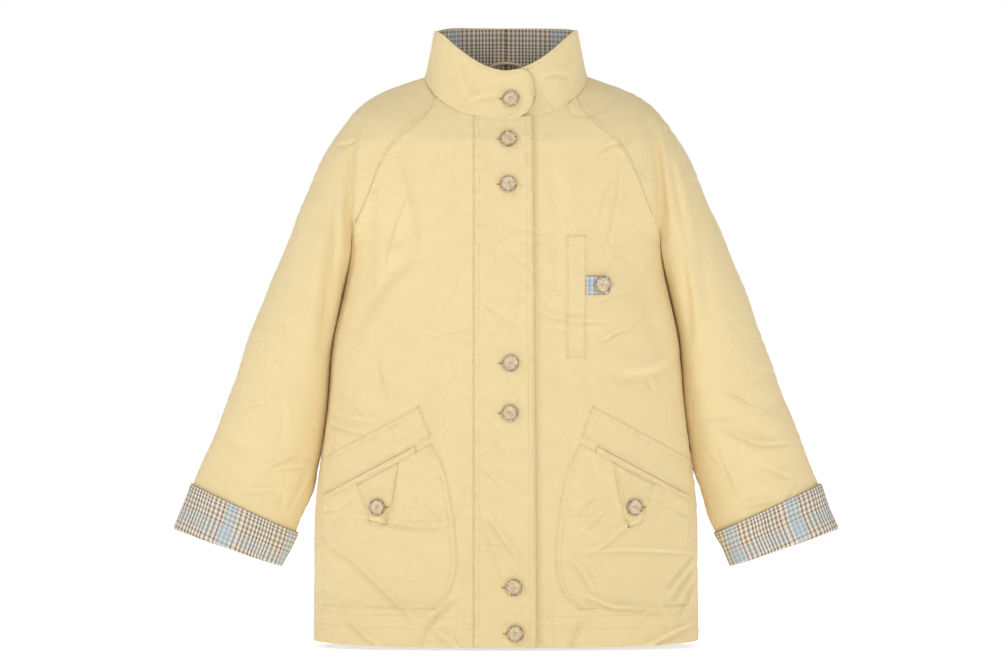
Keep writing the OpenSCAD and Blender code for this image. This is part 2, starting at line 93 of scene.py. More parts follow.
def make_studio():
    middle = (0, 0, -0.33)
    area_light("key", (-3.3, -1.9, 1.5), middle, 0.8, 31)
    area_light("fill", (2.2, -3.9, 1.2), middle, 1.6, 37)
    area_light("top", (0.0, -0.4, 2.4), middle, 1.8, 10)
    area_light("rear", (0.3, 3.0, 1.4), middle, 2.2, 14)
    world = bpy.data.worlds.new("studio")
    world.use_nodes = True
    tree = world.node_tree
    tree.nodes.clear()
    seen = tree.nodes.new("ShaderNodeLightPath")
    room = tree.nodes.new("ShaderNodeBackground")
    room.inputs["Strength"].default_value = 0.34
    white = tree.nodes.new("ShaderNodeBackground")
    white.inputs["Color"].default_value = (1, 1, 1, 1)
    white.inputs["Strength"].default_value = 1.0
    room.inputs["Color"].default_value = (1, 1, 1, 1)
    mixer = tree.nodes.new("ShaderNodeMixShader")
    out = tree.nodes.new("ShaderNodeOutputWorld")
    tree.links.new(seen.outputs["Is Camera Ray"], mixer.inputs[0])
    tree.links.new(room.outputs[0], mixer.inputs[1])
    tree.links.new(white.outputs[0], mixer.inputs[2])
    tree.links.new(mixer.outputs[0], out.inputs["Surface"])
    bpy.context.scene.world = world
    bpy.context.scene.view_settings.view_transform = "Standard"
    half = FLOOR_HALF
    mesh = bpy.data.meshes.new("floor")
    corners = [(-half, -half, FLOOR_Z), (half, -half, FLOOR_Z), (half, half, FLOOR_Z), (-half, half, FLOOR_Z)]
    mesh.from_pydata(corners, [], [(0, 1, 2, 3)])
    floor = bpy.data.objects.new("floor", mesh)
    bpy.context.collection.objects.link(floor)
    paper = bpy.data.materials.new("paper")
    paper.use_nodes = True
    shader = paper.node_tree.nodes["Principled BSDF"]
    shader.inputs["Base Color"].default_value = (0.9, 0.9, 0.9, 1)
    shader.inputs["Roughness"].default_value = 0.9
    shader.inputs["Emission Color"].default_value = (1, 1, 1, 1)
    tree = paper.node_tree
    place = tree.nodes.new("ShaderNodeTexCoord")
    reach = tree.nodes.new("ShaderNodeVectorMath")
    reach.operation = "LENGTH"
    tree.links.new(place.outputs["Object"], reach.inputs[0])
    # The floor glows more with distance from the object: the dimmer glow near it is painted shade around the
    # object.
    floor_glow_dim_near_object = tree.nodes.new("ShaderNodeMapRange")
    floor_glow_dim_near_object.inputs["From Min"].default_value = 0.5
    floor_glow_dim_near_object.inputs["From Max"].default_value = 1.3
    floor_glow_dim_near_object.inputs["To Min"].default_value = 0.5
    floor_glow_dim_near_object.inputs["To Max"].default_value = 0.8
    tree.links.new(reach.outputs["Value"], floor_glow_dim_near_object.inputs["Value"])
    tree.links.new(floor_glow_dim_near_object.outputs["Result"], shader.inputs["Emission Strength"])
    mesh.materials.append(paper)


make_camera()
make_studio()


# ---------------------------------------------------------------- materials
class Nodes:
    """A short way to add and join the nodes of one tree."""

    def __init__(self, tree):
        self.tree = tree

    def add(self, kind, values=(), **settings):
        node = self.tree.nodes.new("ShaderNode" + kind)
        for key, value in settings.items():
            setattr(node, key, value)
        for key, value in dict(values).items():
            if isinstance(value, bpy.types.NodeSocket):
                self.tree.links.new(value, node.inputs[key])
            else:
                node.inputs[key].default_value = value
        return node

    def math(self, operation, a, b=0.0):
        return self.add("Math", {0: a, 1: b}, operation=operation).outputs[0]

    def mix(self, share, a, b, blend="MIX"):
        return self.add("MixRGB", {0: share, 1: a, 2: b}, blend_type=blend).outputs[0]

    def noise(self, vector, scale, detail=2.0, rough=0.5, distortion=0.0):
        values = {"Vector": vector, "Scale": scale, "Detail": detail, "Roughness": rough,
                  "Distortion": distortion}
        return self.add("TexNoise", values).outputs["Fac"]

    def ramp(self, value, stops, kind="LINEAR"):
        node = self.add("ValToRGB", {0: value})
        node.color_ramp.interpolation = kind
        elements = node.color_ramp.elements
        while len(elements) < len(stops):
            elements.new(0.5)
        for element, (place, colour) in zip(elements, stops):
            element.position = place
            element.color = colour
        return node.outputs[0]


def srgb(red, green, blue):
    def linear(c):
        c = c / 255
        return c / 12.92 if c <= 0.04045 else ((c + 0.055) / 1.055) ** 2.4
    return (linear(red), linear(green), linear(blue), 1.0)


def grey(level):
    return (level, level, level, 1.0)


def new_group(name, inputs, outputs):
    tree = bpy.data.node_groups.new(name, "ShaderNodeTree")
    for label, kind, value in inputs:
        socket = tree.interface.new_socket(label, in_out="INPUT", socket_type="NodeSocket" + kind)
        if value is not None:
            socket.default_value = value
    for label, kind in outputs:
        tree.interface.new_socket(label, in_out="OUTPUT", socket_type="NodeSocket" + kind)
    return tree, Nodes(tree), tree.nodes.new("NodeGroupInput"), tree.nodes.new("NodeGroupOutput")


def weave_group():
    """The twill's height, and a soft unevenness of its tone."""
    tree, n, source, out = new_group(
        "cotton_weave",
        [("Vector", "Vector", None), ("Threads", "Float", 900.0), ("Slub", "Float", 0.35)],
        [("Height", "Float"), ("Tone", "Float")])
    split = n.add("SeparateXYZ", {0: source.outputs["Vector"]})
    across, along = split.outputs[0], split.outputs[1]
    turn = n.math("MULTIPLY", source.outputs["Threads"], math.tau)
    wave_a = n.math("SINE", n.math("MULTIPLY", n.math("ADD", across, along), turn))
    slant = n.math("SUBTRACT", across, n.math("MULTIPLY", along, 0.5))
    wave_b = n.math("SINE", n.math("MULTIPLY", slant, turn))
    weave = n.math("ADD", n.math("MULTIPLY", wave_a, 0.3), n.math("MULTIPLY", wave_b, 0.12))
    nap = n.noise(source.outputs["Vector"], 620.0, 3.0, 0.65)
    slub = n.math("MULTIPLY", nap, source.outputs["Slub"])
    tree.links.new(n.math("ADD", weave, n.math("MULTIPLY", slub, 2.2)), out.inputs["Height"])
    tree.links.new(n.noise(source.outputs["Vector"], 34.0, 4.0, 0.6), out.inputs["Tone"])
    return tree


WEAVE = weave_group()


def pressed_creases_group():
    """Thin pressed creases that come and go, and puckers that die away from the seams."""
    tree, n, source, out = new_group(
        "pressed_creases",
        [("Vector", "Vector", None), ("Seam Distance", "Float", 40.0), ("Scale", "Float", 13.0)],
        [("Height", "Float")])
    place = source.outputs["Vector"]
    bend = n.add("TexNoise", {"Vector": place, "Scale": 11.0, "Detail": 2.0}).outputs["Color"]
    shift = n.add("VectorMath", {0: bend, 1: (0.5, 0.5, 0.5)}, operation="SUBTRACT").outputs[0]
    scaled = n.add("VectorMath", {0: shift, 3: 0.055}, operation="SCALE").outputs[0]
    bent = n.add("VectorMath", {0: place, 1: scaled}, operation="ADD").outputs[0]
    total = 0.0
    for share, width, offset, weight in ((1.0, 0.045, 0.0, 1.0), (2.3, 0.06, 7.0, 0.45)):
        moved = n.add("VectorMath", {0: bent, 1: (offset, offset, 0)}, operation="ADD").outputs[0]
        size = n.math("MULTIPLY", source.outputs["Scale"], share)
        lines = n.add("TexVoronoi", {"Vector": moved, "Scale": size}, feature="DISTANCE_TO_EDGE")
        stops = [(0.0, grey(1.0)), (0.35, grey(0.45)), (1.0, grey(0.0))]
        line = n.ramp(n.math("DIVIDE", lines.outputs["Distance"], width), stops)
        where = n.ramp(n.noise(moved, 6.0 * share, 1.0), [(0.47, grey(0.0)), (0.62, grey(1.0))])
        total = n.math("SUBTRACT", total, n.math("MULTIPLY", n.math("MULTIPLY", line, where), weight))
    near = n.math("EXPONENT", n.math("MULTIPLY", source.outputs["Seam Distance"], -0.13))
    pucker = n.math("MULTIPLY", n.noise(place, 95.0, 1.0), near)
    tree.links.new(n.math("ADD", total, n.math("MULTIPLY", pucker, 2.2)), out.inputs["Height"])
    return tree


CREASES = pressed_creases_group()


def plaid_group():
    """Check of cream, taupe, rust and light blue yarns: the same order of stripes both ways."""
    tree, n, source, out = new_group(
        "plaid_yarns", [("Vector", "Vector", None), ("Repeat", "Float", 0.088)], [("Color", "Color")])
    cream, taupe, brown = srgb(240, 231, 215), srgb(148, 132, 108), srgb(106, 86, 64)
    rust, blue = srgb(146, 92, 56), srgb(170, 190, 203)

    def stripes():
        """Yarn colours over one repeat, as (start, colour) in millimetres of the 88 mm repeat."""
        order = [(0.0, rust), (2.4, cream), (5.0, taupe), (8.0, cream), (11.0, taupe), (13.5, cream)]
        order += [(16.5 + 4.4 * k + half * 1.8, cream if half else brown)
                  for k in range(6) for half in (0, 1)]
        order += [(44.0, taupe), (47.0, cream), (50.5, taupe), (53.5, cream), (57.0, rust), (59.4, cream)]
        order += [(61.5, blue), (66.0, cream), (67.5, blue), (72.0, cream), (73.5, blue), (78.0, cream)]
        order += [(80.5, taupe), (83.5, cream)]
        return [(start / 88.0, colour) for start, colour in order]

    split = n.add("SeparateXYZ", {0: source.outputs["Vector"]})
    yarns = []
    for axis in (0, 1):
        turns = n.math("DIVIDE", split.outputs[axis], source.outputs["Repeat"])
        yarns.append(n.ramp(n.math("FRACT", turns), stripes(), "CONSTANT"))
    tree.links.new(n.mix(0.36, yarns[0], yarns[1]), out.inputs["Color"])
    return tree


PLAID = plaid_group()


def cloth_material(name, colour=None, bump=0.5, sheen=0.2, seam_grime_and_shade_tint=0.12):
    """Woven cloth on the piece's own UV map, in metres; colour None makes the plaid."""
    material = bpy.data.materials.new(name)
    material.use_nodes = True
    n = Nodes(material.node_tree)
    shader = material.node_tree.nodes["Principled BSDF"]
    links = material.node_tree.links
    place = n.add("UVMap", uv_map="cloth").outputs[0]
    weave = n.add("Group", node_tree=WEAVE)
    links.new(place, weave.inputs["Vector"])
    if colour is None:
        plaid = n.add("Group", node_tree=PLAID)
        links.new(place, plaid.inputs["Vector"])
        base = plaid.outputs["Color"]
    else:
        base = n.mix(weave.outputs["Tone"], tuple(c * 0.975 for c in colour[:3]) + (1,),
                     tuple(min(1, c * 1.02) for c in colour[:3]) + (1,))
    # Darker along seams and edges: partly dirt along them, partly painted shade in the seam hollows and
    # rolled edges.
    seam_grime_and_shade = n.add("Attribute", attribute_name="seam", attribute_type="GEOMETRY").outputs["Fac"]
    grimed_and_shaded = n.mix(n.math("MULTIPLY", seam_grime_and_shade, seam_grime_and_shade_tint), base, grey(0.62), "MULTIPLY")
    # Darker where the weave height is low: painted shade in the hollows between the yarns.
    weave_hollow_shade = n.ramp(weave.outputs["Height"], [(0.3, grey(0.955)), (0.75, grey(1.0))])
    links.new(n.mix(1.0, grimed_and_shaded, weave_hollow_shade, "MULTIPLY"), shader.inputs["Base Color"])
    rough = n.ramp(weave.outputs["Tone"], [(0.2, grey(0.82)), (0.8, grey(0.93))])
    links.new(rough, shader.inputs["Roughness"])
    folds = n.add("Group", node_tree=CREASES)
    links.new(place, folds.inputs["Vector"])
    from_seam = n.add("Attribute", attribute_name="from_seam", attribute_type="GEOMETRY").outputs["Fac"]
    links.new(from_seam, folds.inputs["Seam Distance"])
    creased = n.add("Bump", {"Height": folds.outputs["Height"], "Strength": 0.75, "Distance": 0.0011})
    height = n.add("Bump", {"Height": weave.outputs["Height"], "Strength": bump, "Distance": 0.0003})
    links.new(creased.outputs[0], height.inputs["Normal"])
    links.new(height.outputs[0], shader.inputs["Normal"])
    shader.inputs["Sheen Weight"].default_value = sheen
    shader.inputs["Sheen Roughness"].default_value = 0.6
    shader.inputs["Specular IOR Level"].default_value = 0.22
    return material


def solid_cloth_material(name, colour):
    """Cloth on Object coordinates, for piping and tape."""
    material = bpy.data.materials.new(name)
    material.use_nodes = True
    n = Nodes(material.node_tree)
    shader = material.node_tree.nodes["Principled BSDF"]
    place = n.add("TexCoord").outputs["Object"]
    weave = n.add("Group", node_tree=WEAVE)
    material.node_tree.links.new(place, weave.inputs["Vector"])
    base = n.mix(weave.outputs["Tone"], tuple(c * 0.9 for c in colour[:3]) + (1,), colour)
    material.node_tree.links.new(base, shader.inputs["Base Color"])
    height = n.add("Bump", {"Height": weave.outputs["Height"], "Strength": 0.5, "Distance": 0.0002})
    material.node_tree.links.new(height.outputs[0], shader.inputs["Normal"])
    shader.inputs["Roughness"].default_value = 0.85
    shader.inputs["Sheen Weight"].default_value = 0.2
    return material


def horn_material():
    """Marbled horn-look resin with darker veins and a polished rim."""
    material = bpy.data.materials.new("horn")
    material.use_nodes = True
    n = Nodes(material.node_tree)
    shader = material.node_tree.nodes["Principled BSDF"]
    links = material.node_tree.links
    place = n.add("TexCoord").outputs["Object"]
    veins = n.noise(place, 150.0, 5.0, 0.62, 2.4)
    pale = [(0.3, srgb(166, 138, 98)), (0.5, srgb(216, 198, 164)), (0.7, srgb(236, 222, 196))]
    dark = [(0.36, srgb(104, 78, 48)), (0.5, srgb(172, 144, 104)), (0.66, srgb(222, 202, 168))]
    reach = n.add("Attribute", attribute_name="reach", attribute_type="GEOMETRY").outputs["Fac"]
    rim = n.ramp(reach, [(0.62, grey(0.0)), (0.86, grey(1.0))])
    links.new(n.mix(rim, n.ramp(veins, pale), n.ramp(veins, dark)), shader.inputs["Base Color"])
    links.new(n.ramp(veins, [(0.2, grey(0.34)), (0.8, grey(0.2))]), shader.inputs["Roughness"])
    scratches = n.noise(place, 2600.0, 2.0)
    height = n.add("Bump", {"Height": scratches, "Strength": 0.08, "Distance": 0.0001})
    links.new(height.outputs[0], shader.inputs["Normal"])
    shader.inputs["Coat Weight"].default_value = 0.5
    shader.inputs["Coat Roughness"].default_value = 0.12
    return material


BODY_CLOTH = cloth_material("body_cloth", srgb(243, 221, 168))
PLAID_CLOTH = cloth_material("plaid_cloth", None, 0.6, 0.1, 0.3)
PIPING = solid_cloth_material("piping", srgb(232, 211, 160))
THREAD = solid_cloth_material("thread", srgb(226, 203, 150))
LABEL = solid_cloth_material("label_tape", srgb(238, 236, 228))
# A darkened copy of the cloth colour: painted shade in the buttonhole openings.
SLIT_SHADE = solid_cloth_material("buttonhole_gap_shade", srgb(128, 100, 62))
HORN = horn_material()

# ---------------------------------------------------------------- shape of the garment, in millimetres
RIGHT, LEFT, FRONT, BACK = -1, 1, 1, -1
HEM = -750.0
HEM_TURN = 48.0
SHOULDER_HALF, SHOULDER_Z = 200.0, -60.0
UNDERARM = -240.0
HIP, WAIST, YOKE = -564.0, -434.0, -100.0
NECK_HALF_W = 105.0
COLLAR_LEAN, COLLAR_TOP, COLLAR_DIP, COLLAR_LAP = 12.0, 52.0, 61.0, 38.0
POWER = 2.5
BAND_SEAM, BAND_LAP = 42.0, 36.0
FOLD_TOP, FOLD_HEM = 56.0, 92.0
CLOTH, LINING = 1.2, 0.8
# Levels of the hidden layers off the face of the body cloth
FACING_LEVEL, TURNED_LEVEL, LINING_LEVEL, LABEL_LEVEL = -1.8, -1.7, -2.8, -4.2


def smooth(t):
    t = np.clip(t, 0, 1)
    return t * t * (3 - 2 * t)


def mix(a, b, t):
    return a + (b - a) * t


def rounded(points, width):
    """A table of (place, value) as a curve with its corners rounded over about width."""
    points = np.array(sorted(points), float)
    step = width / 6
    x = np.arange(points[0, 0] - 3 * width, points[-1, 0] + 3 * width, step)
    y = np.interp(x, points[:, 0], points[:, 1])
    ends = (y[:1] + (x - points[0, 0]) * (points[1, 1] - points[0, 1]) / (points[1, 0] - points[0, 0]),
            y[-1:] + (x - points[-1, 0]) * (points[-1, 1] - points[-2, 1]) / (points[-1, 0] - points[-2, 0]))
    y = np.where(x < points[0, 0], ends[0], np.where(x > points[-1, 0], ends[1], y))
    weights = np.exp(-0.5 * (np.arange(-12, 13) / 4.0) ** 2)
    y = np.convolve(np.pad(y, 12, mode="reflect", reflect_type="odd"), weights / weights.sum(), "valid")
    return lambda u: np.interp(u, x, y)


WIDTHS = [(HEM, 250), (HIP, 248), (WAIST, 230), (-356, 227), (-290, 209), (UNDERARM, 201), (-150, 226),
          (YOKE, 220), (SHOULDER_Z, 200), (-30, 165), (0, NECK_HALF_W)]
crisp_w, eased_w = rounded(WIDTHS, 14), rounded(WIDTHS, 40)
front_d = rounded([(HEM, 112), (WAIST, 105), (-200, 104), (YOKE, 91), (0, 78)], 60)
back_d = rounded([(HEM, 112), (WAIST, 105), (-200, 100), (YOKE, 90), (0, 70)], 30)
side_z = rounded([(HEM, HEM + 5), (HEM + 100, HEM + 100), (YOKE, YOKE), (SHOULDER_Z, -60),
                  (-30, -34), (0, -14)], 10)
front_z = rounded([(HEM, HEM), (YOKE, YOKE), (0, -70)], 10)
back_z = rounded([(HEM, HEM), (YOKE, YOKE), (0, -8)], 10)
raglan_line = rounded([(UNDERARM, 200.5), (UNDERARM + 25, 197), (-125, 161), (YOKE, 142), (0, 90)], 10)


def half_w(s):
    """Half the width of the body, eased below the yoke and crisp along the shoulder."""
    return mix(eased_w(s), crisp_w(s), smooth((s + 180) / 100))


def signed_power(v, p):
    return np.sign(v) * np.abs(v) ** p


def body(side, s, angle):
    """A point on the body: angle 0 at the side, 90 at the middle front and -90 at the middle back."""
    side, s, angle = np.broadcast_arrays(side, s, angle)
    a = np.radians(angle)
    forward = angle > 0
    depth = np.where(forward, front_d(s), back_d(s))
    middle = np.where(forward, front_z(s), back_z(s))
    x = side * half_w(s) * signed_power(np.cos(a), 2 / POWER)
    y = -depth * signed_power(np.sin(a), 2 / POWER)
    return np.stack([x, y, mix(side_z(s), middle, np.abs(np.sin(a)) ** 1.3)], -1)


def angle_at(x, s):
    return np.degrees(np.arccos(np.minimum(1, np.abs(x) / half_w(s)) ** (POWER / 2)))


def raglan_x(s):
    """The raglan seam by height; near the underarm it runs out to the side seam."""
    return mix(raglan_line(s), half_w(s), 1 - smooth((s - UNDERARM) / 30))


def lap_rise(x):
    """How far the lapped right front stands over the left one, by the distance across."""
    return 4.6 * smooth((x + BAND_SEAM + 5) / 15)


# ---------------------------------------------------------------- folds and creases
def along(x, z, path):
    """Signed distance from a path of points, and the share of the way along it."""
    best = np.full(x.shape, 1e9)
    sign = np.zeros(x.shape)
    share = np.zeros(x.shape)
    path = np.array(path, float)
    for _ in range(2):  # corner cutting rounds the path
        inner = np.empty((2 * len(path) - 2, 2))
        inner[0::2] = 0.75 * path[:-1] + 0.25 * path[1:]
        inner[1::2] = 0.25 * path[:-1] + 0.75 * path[1:]
        path = np.vstack([path[:1], inner, path[-1:]])
    lengths = np.linalg.norm(np.diff(path, axis=0), axis=1)
    done = np.concatenate([[0], np.cumsum(lengths)]) / lengths.sum()
    for k in range(len(path) - 1):
        (ax, az), (bx, bz) = path[k], path[k + 1]
        dx, dz = bx - ax, bz - az
        t = np.clip(((x - ax) * dx + (z - az) * dz) / (dx * dx + dz * dz), 0, 1)
        px, pz = x - ax - t * dx, z - az - t * dz
        d = np.hypot(px, pz)
        near = d < best
        best = np.where(near, d, best)
        sign = np.where(near, np.sign(dx * pz - dz * px), sign)
        share = np.where(near, done[k] + t * (done[k + 1] - done[k]), share)
    return best, sign, share


def crease(x, z, width, depth, path):
    """A valley that fades at both ends, with one lip a little higher than the other."""
    gain = 1.7 if width < 5 else 1.4
    d, sign, share = along(x, z, path)
    taper = np.clip(4 * share * (1 - share), 0, 1) ** 0.6
    q = d / (0.8 * width if width < 5 else width)
    valley = -np.exp(-q * q) + 0.42 * np.exp(-(q / 2.3) ** 2)
    lip = 0.35 * sign * q * np.exp(-(q / 1.7) ** 2)
    return gain * depth * taper * (valley + lip)


# Width, depth and path of each crease of the front, as seen square on
FRONT_CREASES = [
    (3.2, 2.0, [(-141, -104), (-125, -155), (-112, -220), (-115, -246)]),
    (3.4, 1.8, [(-128, -168), (-148, -220), (-157, -262)]),
    (10, 3.4, [(-120, -246), (-164, -290), (-192, -350)]),
    (9, 2.6, [(-166, -130), (-178, -200), (-172, -280), (-190, -330)]),
    (6, 1.4, [(16, -228), (-2, -290), (-8, -340)]),
    (2.8, 1.6, [(-31, -308), (-8, -322)]),
    (3.0, 1.3, [(-222, -413), (-205, -432), (-174, -459)]),
    (3.0, 1.5, [(-232, -450), (-190, -460), (-160, -461)]),
    (3.2, 2.2, [(-232, -463), (-203, -474), (-180, -476)]),
    (3.4, 2.4, [(-168, -366), (-157, -415), (-142, -449)]),
    (5, 1.6, [(-141, -520), (-145, -590)]),
    (7, 1.8, [(-98, -415), (-92, -460), (-95, -502)]),
    (2.8, 2.4, [(-194, -583), (-125, -597), (-68, -594)]),
    (3.0, 1.8, [(-110, -556), (-73, -596)]),
    (3.6, 3.0, [(-242, -600), (-225, -624), (-203, -636), (-170, -668), (-134, -701), (-110, -722)]),
    (3.4, 2.6, [(-213, -708), (-190, -733), (-162, -750)]),
    (4.6, 3.4, [(-60, -682), (-94, -715), (-105, -729), (-110, -752)]),
    (3.0, 1.8, [(-67, -588), (-46, -556)]),
    (3.2, 2.0, [(-34, -571), (-18, -623), (-2, -660)]),
    (3.2, 2.4, [(-31, -575), (-1, -615), (22, -648)]),
    (3.2, 2.0, [(-55, -625), (-54, -680)]),
    (4.0, 2.2, [(-92, -727), (-64, -752)]),
    (3.0, 1.4, [(-18, -470), (0, -502)]),
    (3.0, 1.8, [(112, -121), (132, -105), (155, -103), (169, -89)]),
    (3.0, 1.6, [(139, -143), (125, -174), (118, -214)]),
    (3.4, 1.8, [(149, -130), (138, -197), (124, -246)]),
    (2.6, 2.2, [(36, -318), (73, -332), (99, -333), (128, -332)]),
    (2.6, 1.6, [(4, -316), (18, -302), (34, -297)]),
    (3.0, 1.8, [(120, -361), (153, -341)]),
    (7, 2.2, [(136, -404), (181, -402), (210, -390), (224, -372)]),
    (4, 1.6, [(181, -402), (188, -420)]),
    (3.0, 1.6, [(112, -557), (92, -582)]),
    (3.0, 1.8, [(94, -605), (119, -584), (134, -569)]),
    (3.2, 2.2, [(97, -630), (125, -623), (148, -600), (174, -588)]),
    (3.0, 1.8, [(99, -630), (151, -626), (187, -628), (240, -632)]),
    (3.4, 2.8, [(78, -634), (96, -652), (110, -678)]),
    (3.2, 2.8, [(101, -683), (129, -698), (155, -702), (190, -701)]),
    (5, 3.8, [(100, -708), (90, -730), (85, -752)]),
    (3.4, 2.4, [(243, -650), (214, -690)]),
    (3.4, 2.4, [(243, -632), (205, -677)]),
    (3.4, 2.0, [(243, -668), (222, -712)]),
    (4.0, 2.4, [(180, -752), (215, -735), (246, -722)]),
    (12, 2.6, [(160, -250), (185, -310), (206, -380)]),
    (10, 2.2, [(60, -120), (72, -200), (64, -300)]),
    (14, 2.4, [(-70, -330), (-100, -400), (-92, -520)]),
    (5, 2.6, [(-80, 40), (-72, -8), (-50, -50)]),
    (4.4, 2.0, [(-52, -52), (-28, -44), (-4, -40)]),
    (6, 1.8, [(-58, 24), (-50, -12), (-36, -34)]),
    (5, 1.4, [(-94, 20), (-90, -18)]),
    (5, 1.8, [(90, 40), (82, 0), (80, -30)]),
    (4.4, 1.6, [(42, -20), (62, -12), (84, -16)]),
    (5, 1.5, [(48, -2), (66, 14), (80, 36)]),
]
# The same where the sleeve meets the body, shared by both
ARMHOLE_CREASES = [
    (7, 6.0, [(-192, -66), (-199, -120), (-204, -180), (-203, -236)]),
    (7, 6.0, [(190, -70), (197, -109), (203, -171), (208, -226)]),
]
# And for the front of the sleeves
SLEEVE_CREASES = [
    (6, 3.0, [(-206, -86), (-214, -150), (-222, -200), (-224, -262)]),
    (6, 5.0, [(-216, -190), (-226, -252), (-230, -317), (-240, -372)]),
    (3.0, 2.2, [(-220, -104), (-206, -103), (-192, -95)]),
    (12, 2.8, [(-250, -190), (-262, -280), (-272, -360)]),
    (3.2, 2.4, [(-316, -526), (-287, -512), (-263, -501)]),
    (3.2, 1.8, [(-309, -526), (-255, -519)]),
    (3.0, 2.2, [(-341, -550), (-320, -553), (-296, -551)]),
    (4.2, 3.6, [(-252, -515), (-271, -554), (-283, -575)]),
    (4, 1.8, [(-308, -552), (-315, -575)]),
    (4, 1.8, [(-288, -552), (-292, -578)]),
    (5, 1.2, [(-300, -400), (-286, -450), (-290, -500)]),
    (6, 4.6, [(226, -246), (236, -301), (240, -366)]),
    (6, 3.0, [(207, -83), (214, -135), (226, -187), (237, -240)]),
    (10, 2.6, [(245, -170), (256, -240), (262, -330)]),
    (3.0, 1.4, [(254, -459), (306, -454)]),
    (3.2, 1.8, [(277, -418), (318, -438)]),
    (3.4, 2.8, [(270, -466), (304, -483), (330, -494), (368, -490)]),
    (3.2, 2.0, [(261, -505), (279, -526)]),
    (3.6, 2.6, [(271, -495), (285, -532), (309, -573)]),
    (3.0, 2.8, [(306, -572), (348, -567)]),
    (3.4, 2.0, [(330, -518), (371, -536)]),
    (3.4, 1.8, [(362, -566), (380, -530)]),
]
BACK_CREASES = [
    (16, 4.0, [(-150, -130), (-120, -260), (-130, -420)]),
    (14, 3.6, [(148, -140), (126, -250), (140, -400)]),
    (3.4, 2.2, [(-200, -330), (-60, -338), (90, -330), (200, -336)]),
    (3.4, 2.4, [(-170, -600), (-40, -590), (120, -604)]),
    (4, 2.4, [(-90, -640), (-40, -700), (-30, -752)]),
    (4, 2.4, [(150, -620), (110, -690), (118, -752)]),
    (3.2, 1.8, [(20, -420), (70, -470), (150, -490)]),
    (18, 3.2, [(-20, -450), (0, -600), (-10, -750)]),
]


def ripples(points, size, seed, count=7):
    """A smooth uneven field made of a few waves in fixed random directions."""
    rng = np.random.default_rng(seed)
    total = np.zeros(points.shape[:-1])
    for _ in range(count):
        way = rng.normal(size=3)
        way *= rng.uniform(0.7, 1.5) / np.linalg.norm(way) * math.tau / size
        total += np.sin(points @ way + rng.uniform(0, math.tau))
    return total / count


def relief(points, face, creases):
    """How far the cloth lies off its plain shape, faded out where front and back meet."""
    x, y, z = points[..., 0], points[..., 1], points[..., 2]
    total = np.zeros(x.shape)
    for width, depth, path in creases:
        reach = 5 * width
        xs, zs = [p[0] for p in path], [p[1] for p in path]
        near = (x > min(xs) - reach) & (x < max(xs) + reach) & (z > min(zs) - reach) & (z < max(zs) + reach)
        if near.any():
            total[near] += crease(x[near], z[near], width, depth, path)
    total += 2.0 * ripples(points, 150, 3 + face) + 0.55 * ripples(points, 46, 8 + face)
    total += 0.22 * ripples(points, 19, 21 + face)
    for size, depth, seed in ((130, 1.1, 50), (95, 0.8, 60), (60, 0.55, 70)):
        run = ripples(points, size, seed + face) * size / 1.7
        where = smooth(2.2 * ripples(points, 2.2 * size, seed + 5 + face))
        total -= depth * np.exp(-(run / 2.6) ** 2) * where
    return total * np.clip(np.abs(y) / 28, 0, 1)


def unit(v):
    return v / np.maximum(np.linalg.norm(v, axis=-1, keepdims=True), 1e-9)


def body_normal(side, s, angle):
    step = 0.6
    across = body(side, s, angle + step) - body(side, s, angle - step)
    up = body(side, s + 2, angle) - body(side, s - 2, angle)
    return unit(np.cross(up, across) * np.asarray(side)[..., None])


def torso(side, s, angle, level=0.0, lapped=False):
    """A point on the folded cloth of the body, at a level off its face."""
    side, s, angle = np.broadcast_arrays(np.asarray(side, float), s, angle)
    plain = body(side, s, angle)
    face = np.where(angle > 0, FRONT, BACK)
    front_lift = relief(plain, FRONT, FRONT_CREASES + ARMHOLE_CREASES)
    lift = np.where(face > 0, front_lift, relief(plain, BACK, BACK_CREASES))
    if lapped:
        lift = lift + lap_rise(plain[..., 0])
    return plain + body_normal(side, s, angle) * (lift + level)[..., None]


def front(x, s, level=0.0, lapped=False):
    """A point on the front by its distance across; the lapped right side stands over the left."""
    x, s = np.broadcast_arrays(np.asarray(x, float), s)
    side = np.where(x < 0, RIGHT, LEFT)
    return torso(side, s, np.maximum(0.5, angle_at(x, s)), level, lapped)


# ---------------------------------------------------------------- cloth pieces
def spread(count, fine=True):
    """Shares from 0 to 1, closer together at both ends so that the edges roll cleanly."""
    even = np.linspace(0, 1, count)
    if not fine:
        return even
    step = 1 / (count - 1)
    extra = np.array([0.22, 0.5]) * step
    return np.sort(np.concatenate([even, extra, 1 - extra]))


def lengths_along(grid, axis):
    steps = np.linalg.norm(np.diff(grid, axis=axis), axis=-1)
    pad = [(0, 0), (0, 0)]
    pad[axis] = (1, 0)
    return np.pad(np.cumsum(steps, axis=axis), pad)


def edge_distance(grid, edges):
    """The least distance to the named edges of a grid: l, r, b and t."""
    best = np.full(grid.shape[:2], 1e9)
    across, up = lengths_along(grid, 1), lengths_along(grid, 0)
    if "l" in edges:
        best = np.minimum(best, across)
    if "r" in edges:
        best = np.minimum(best, across[:, -1:] - across)
    if "b" in edges:
        best = np.minimum(best, up)
    if "t" in edges:
        best = np.minimum(best, up[-1:] - up)
    return best


def grid_normals(grid, closed=False):
    if closed:
        wide = np.concatenate([grid[:, -2:-1], grid, grid[:, 1:2]], 1)
        across = (wide[:, 2:] - wide[:, :-2])
    else:
        across = np.gradient(grid, axis=1)
    return unit(np.cross(across, np.gradient(grid, axis=0)))


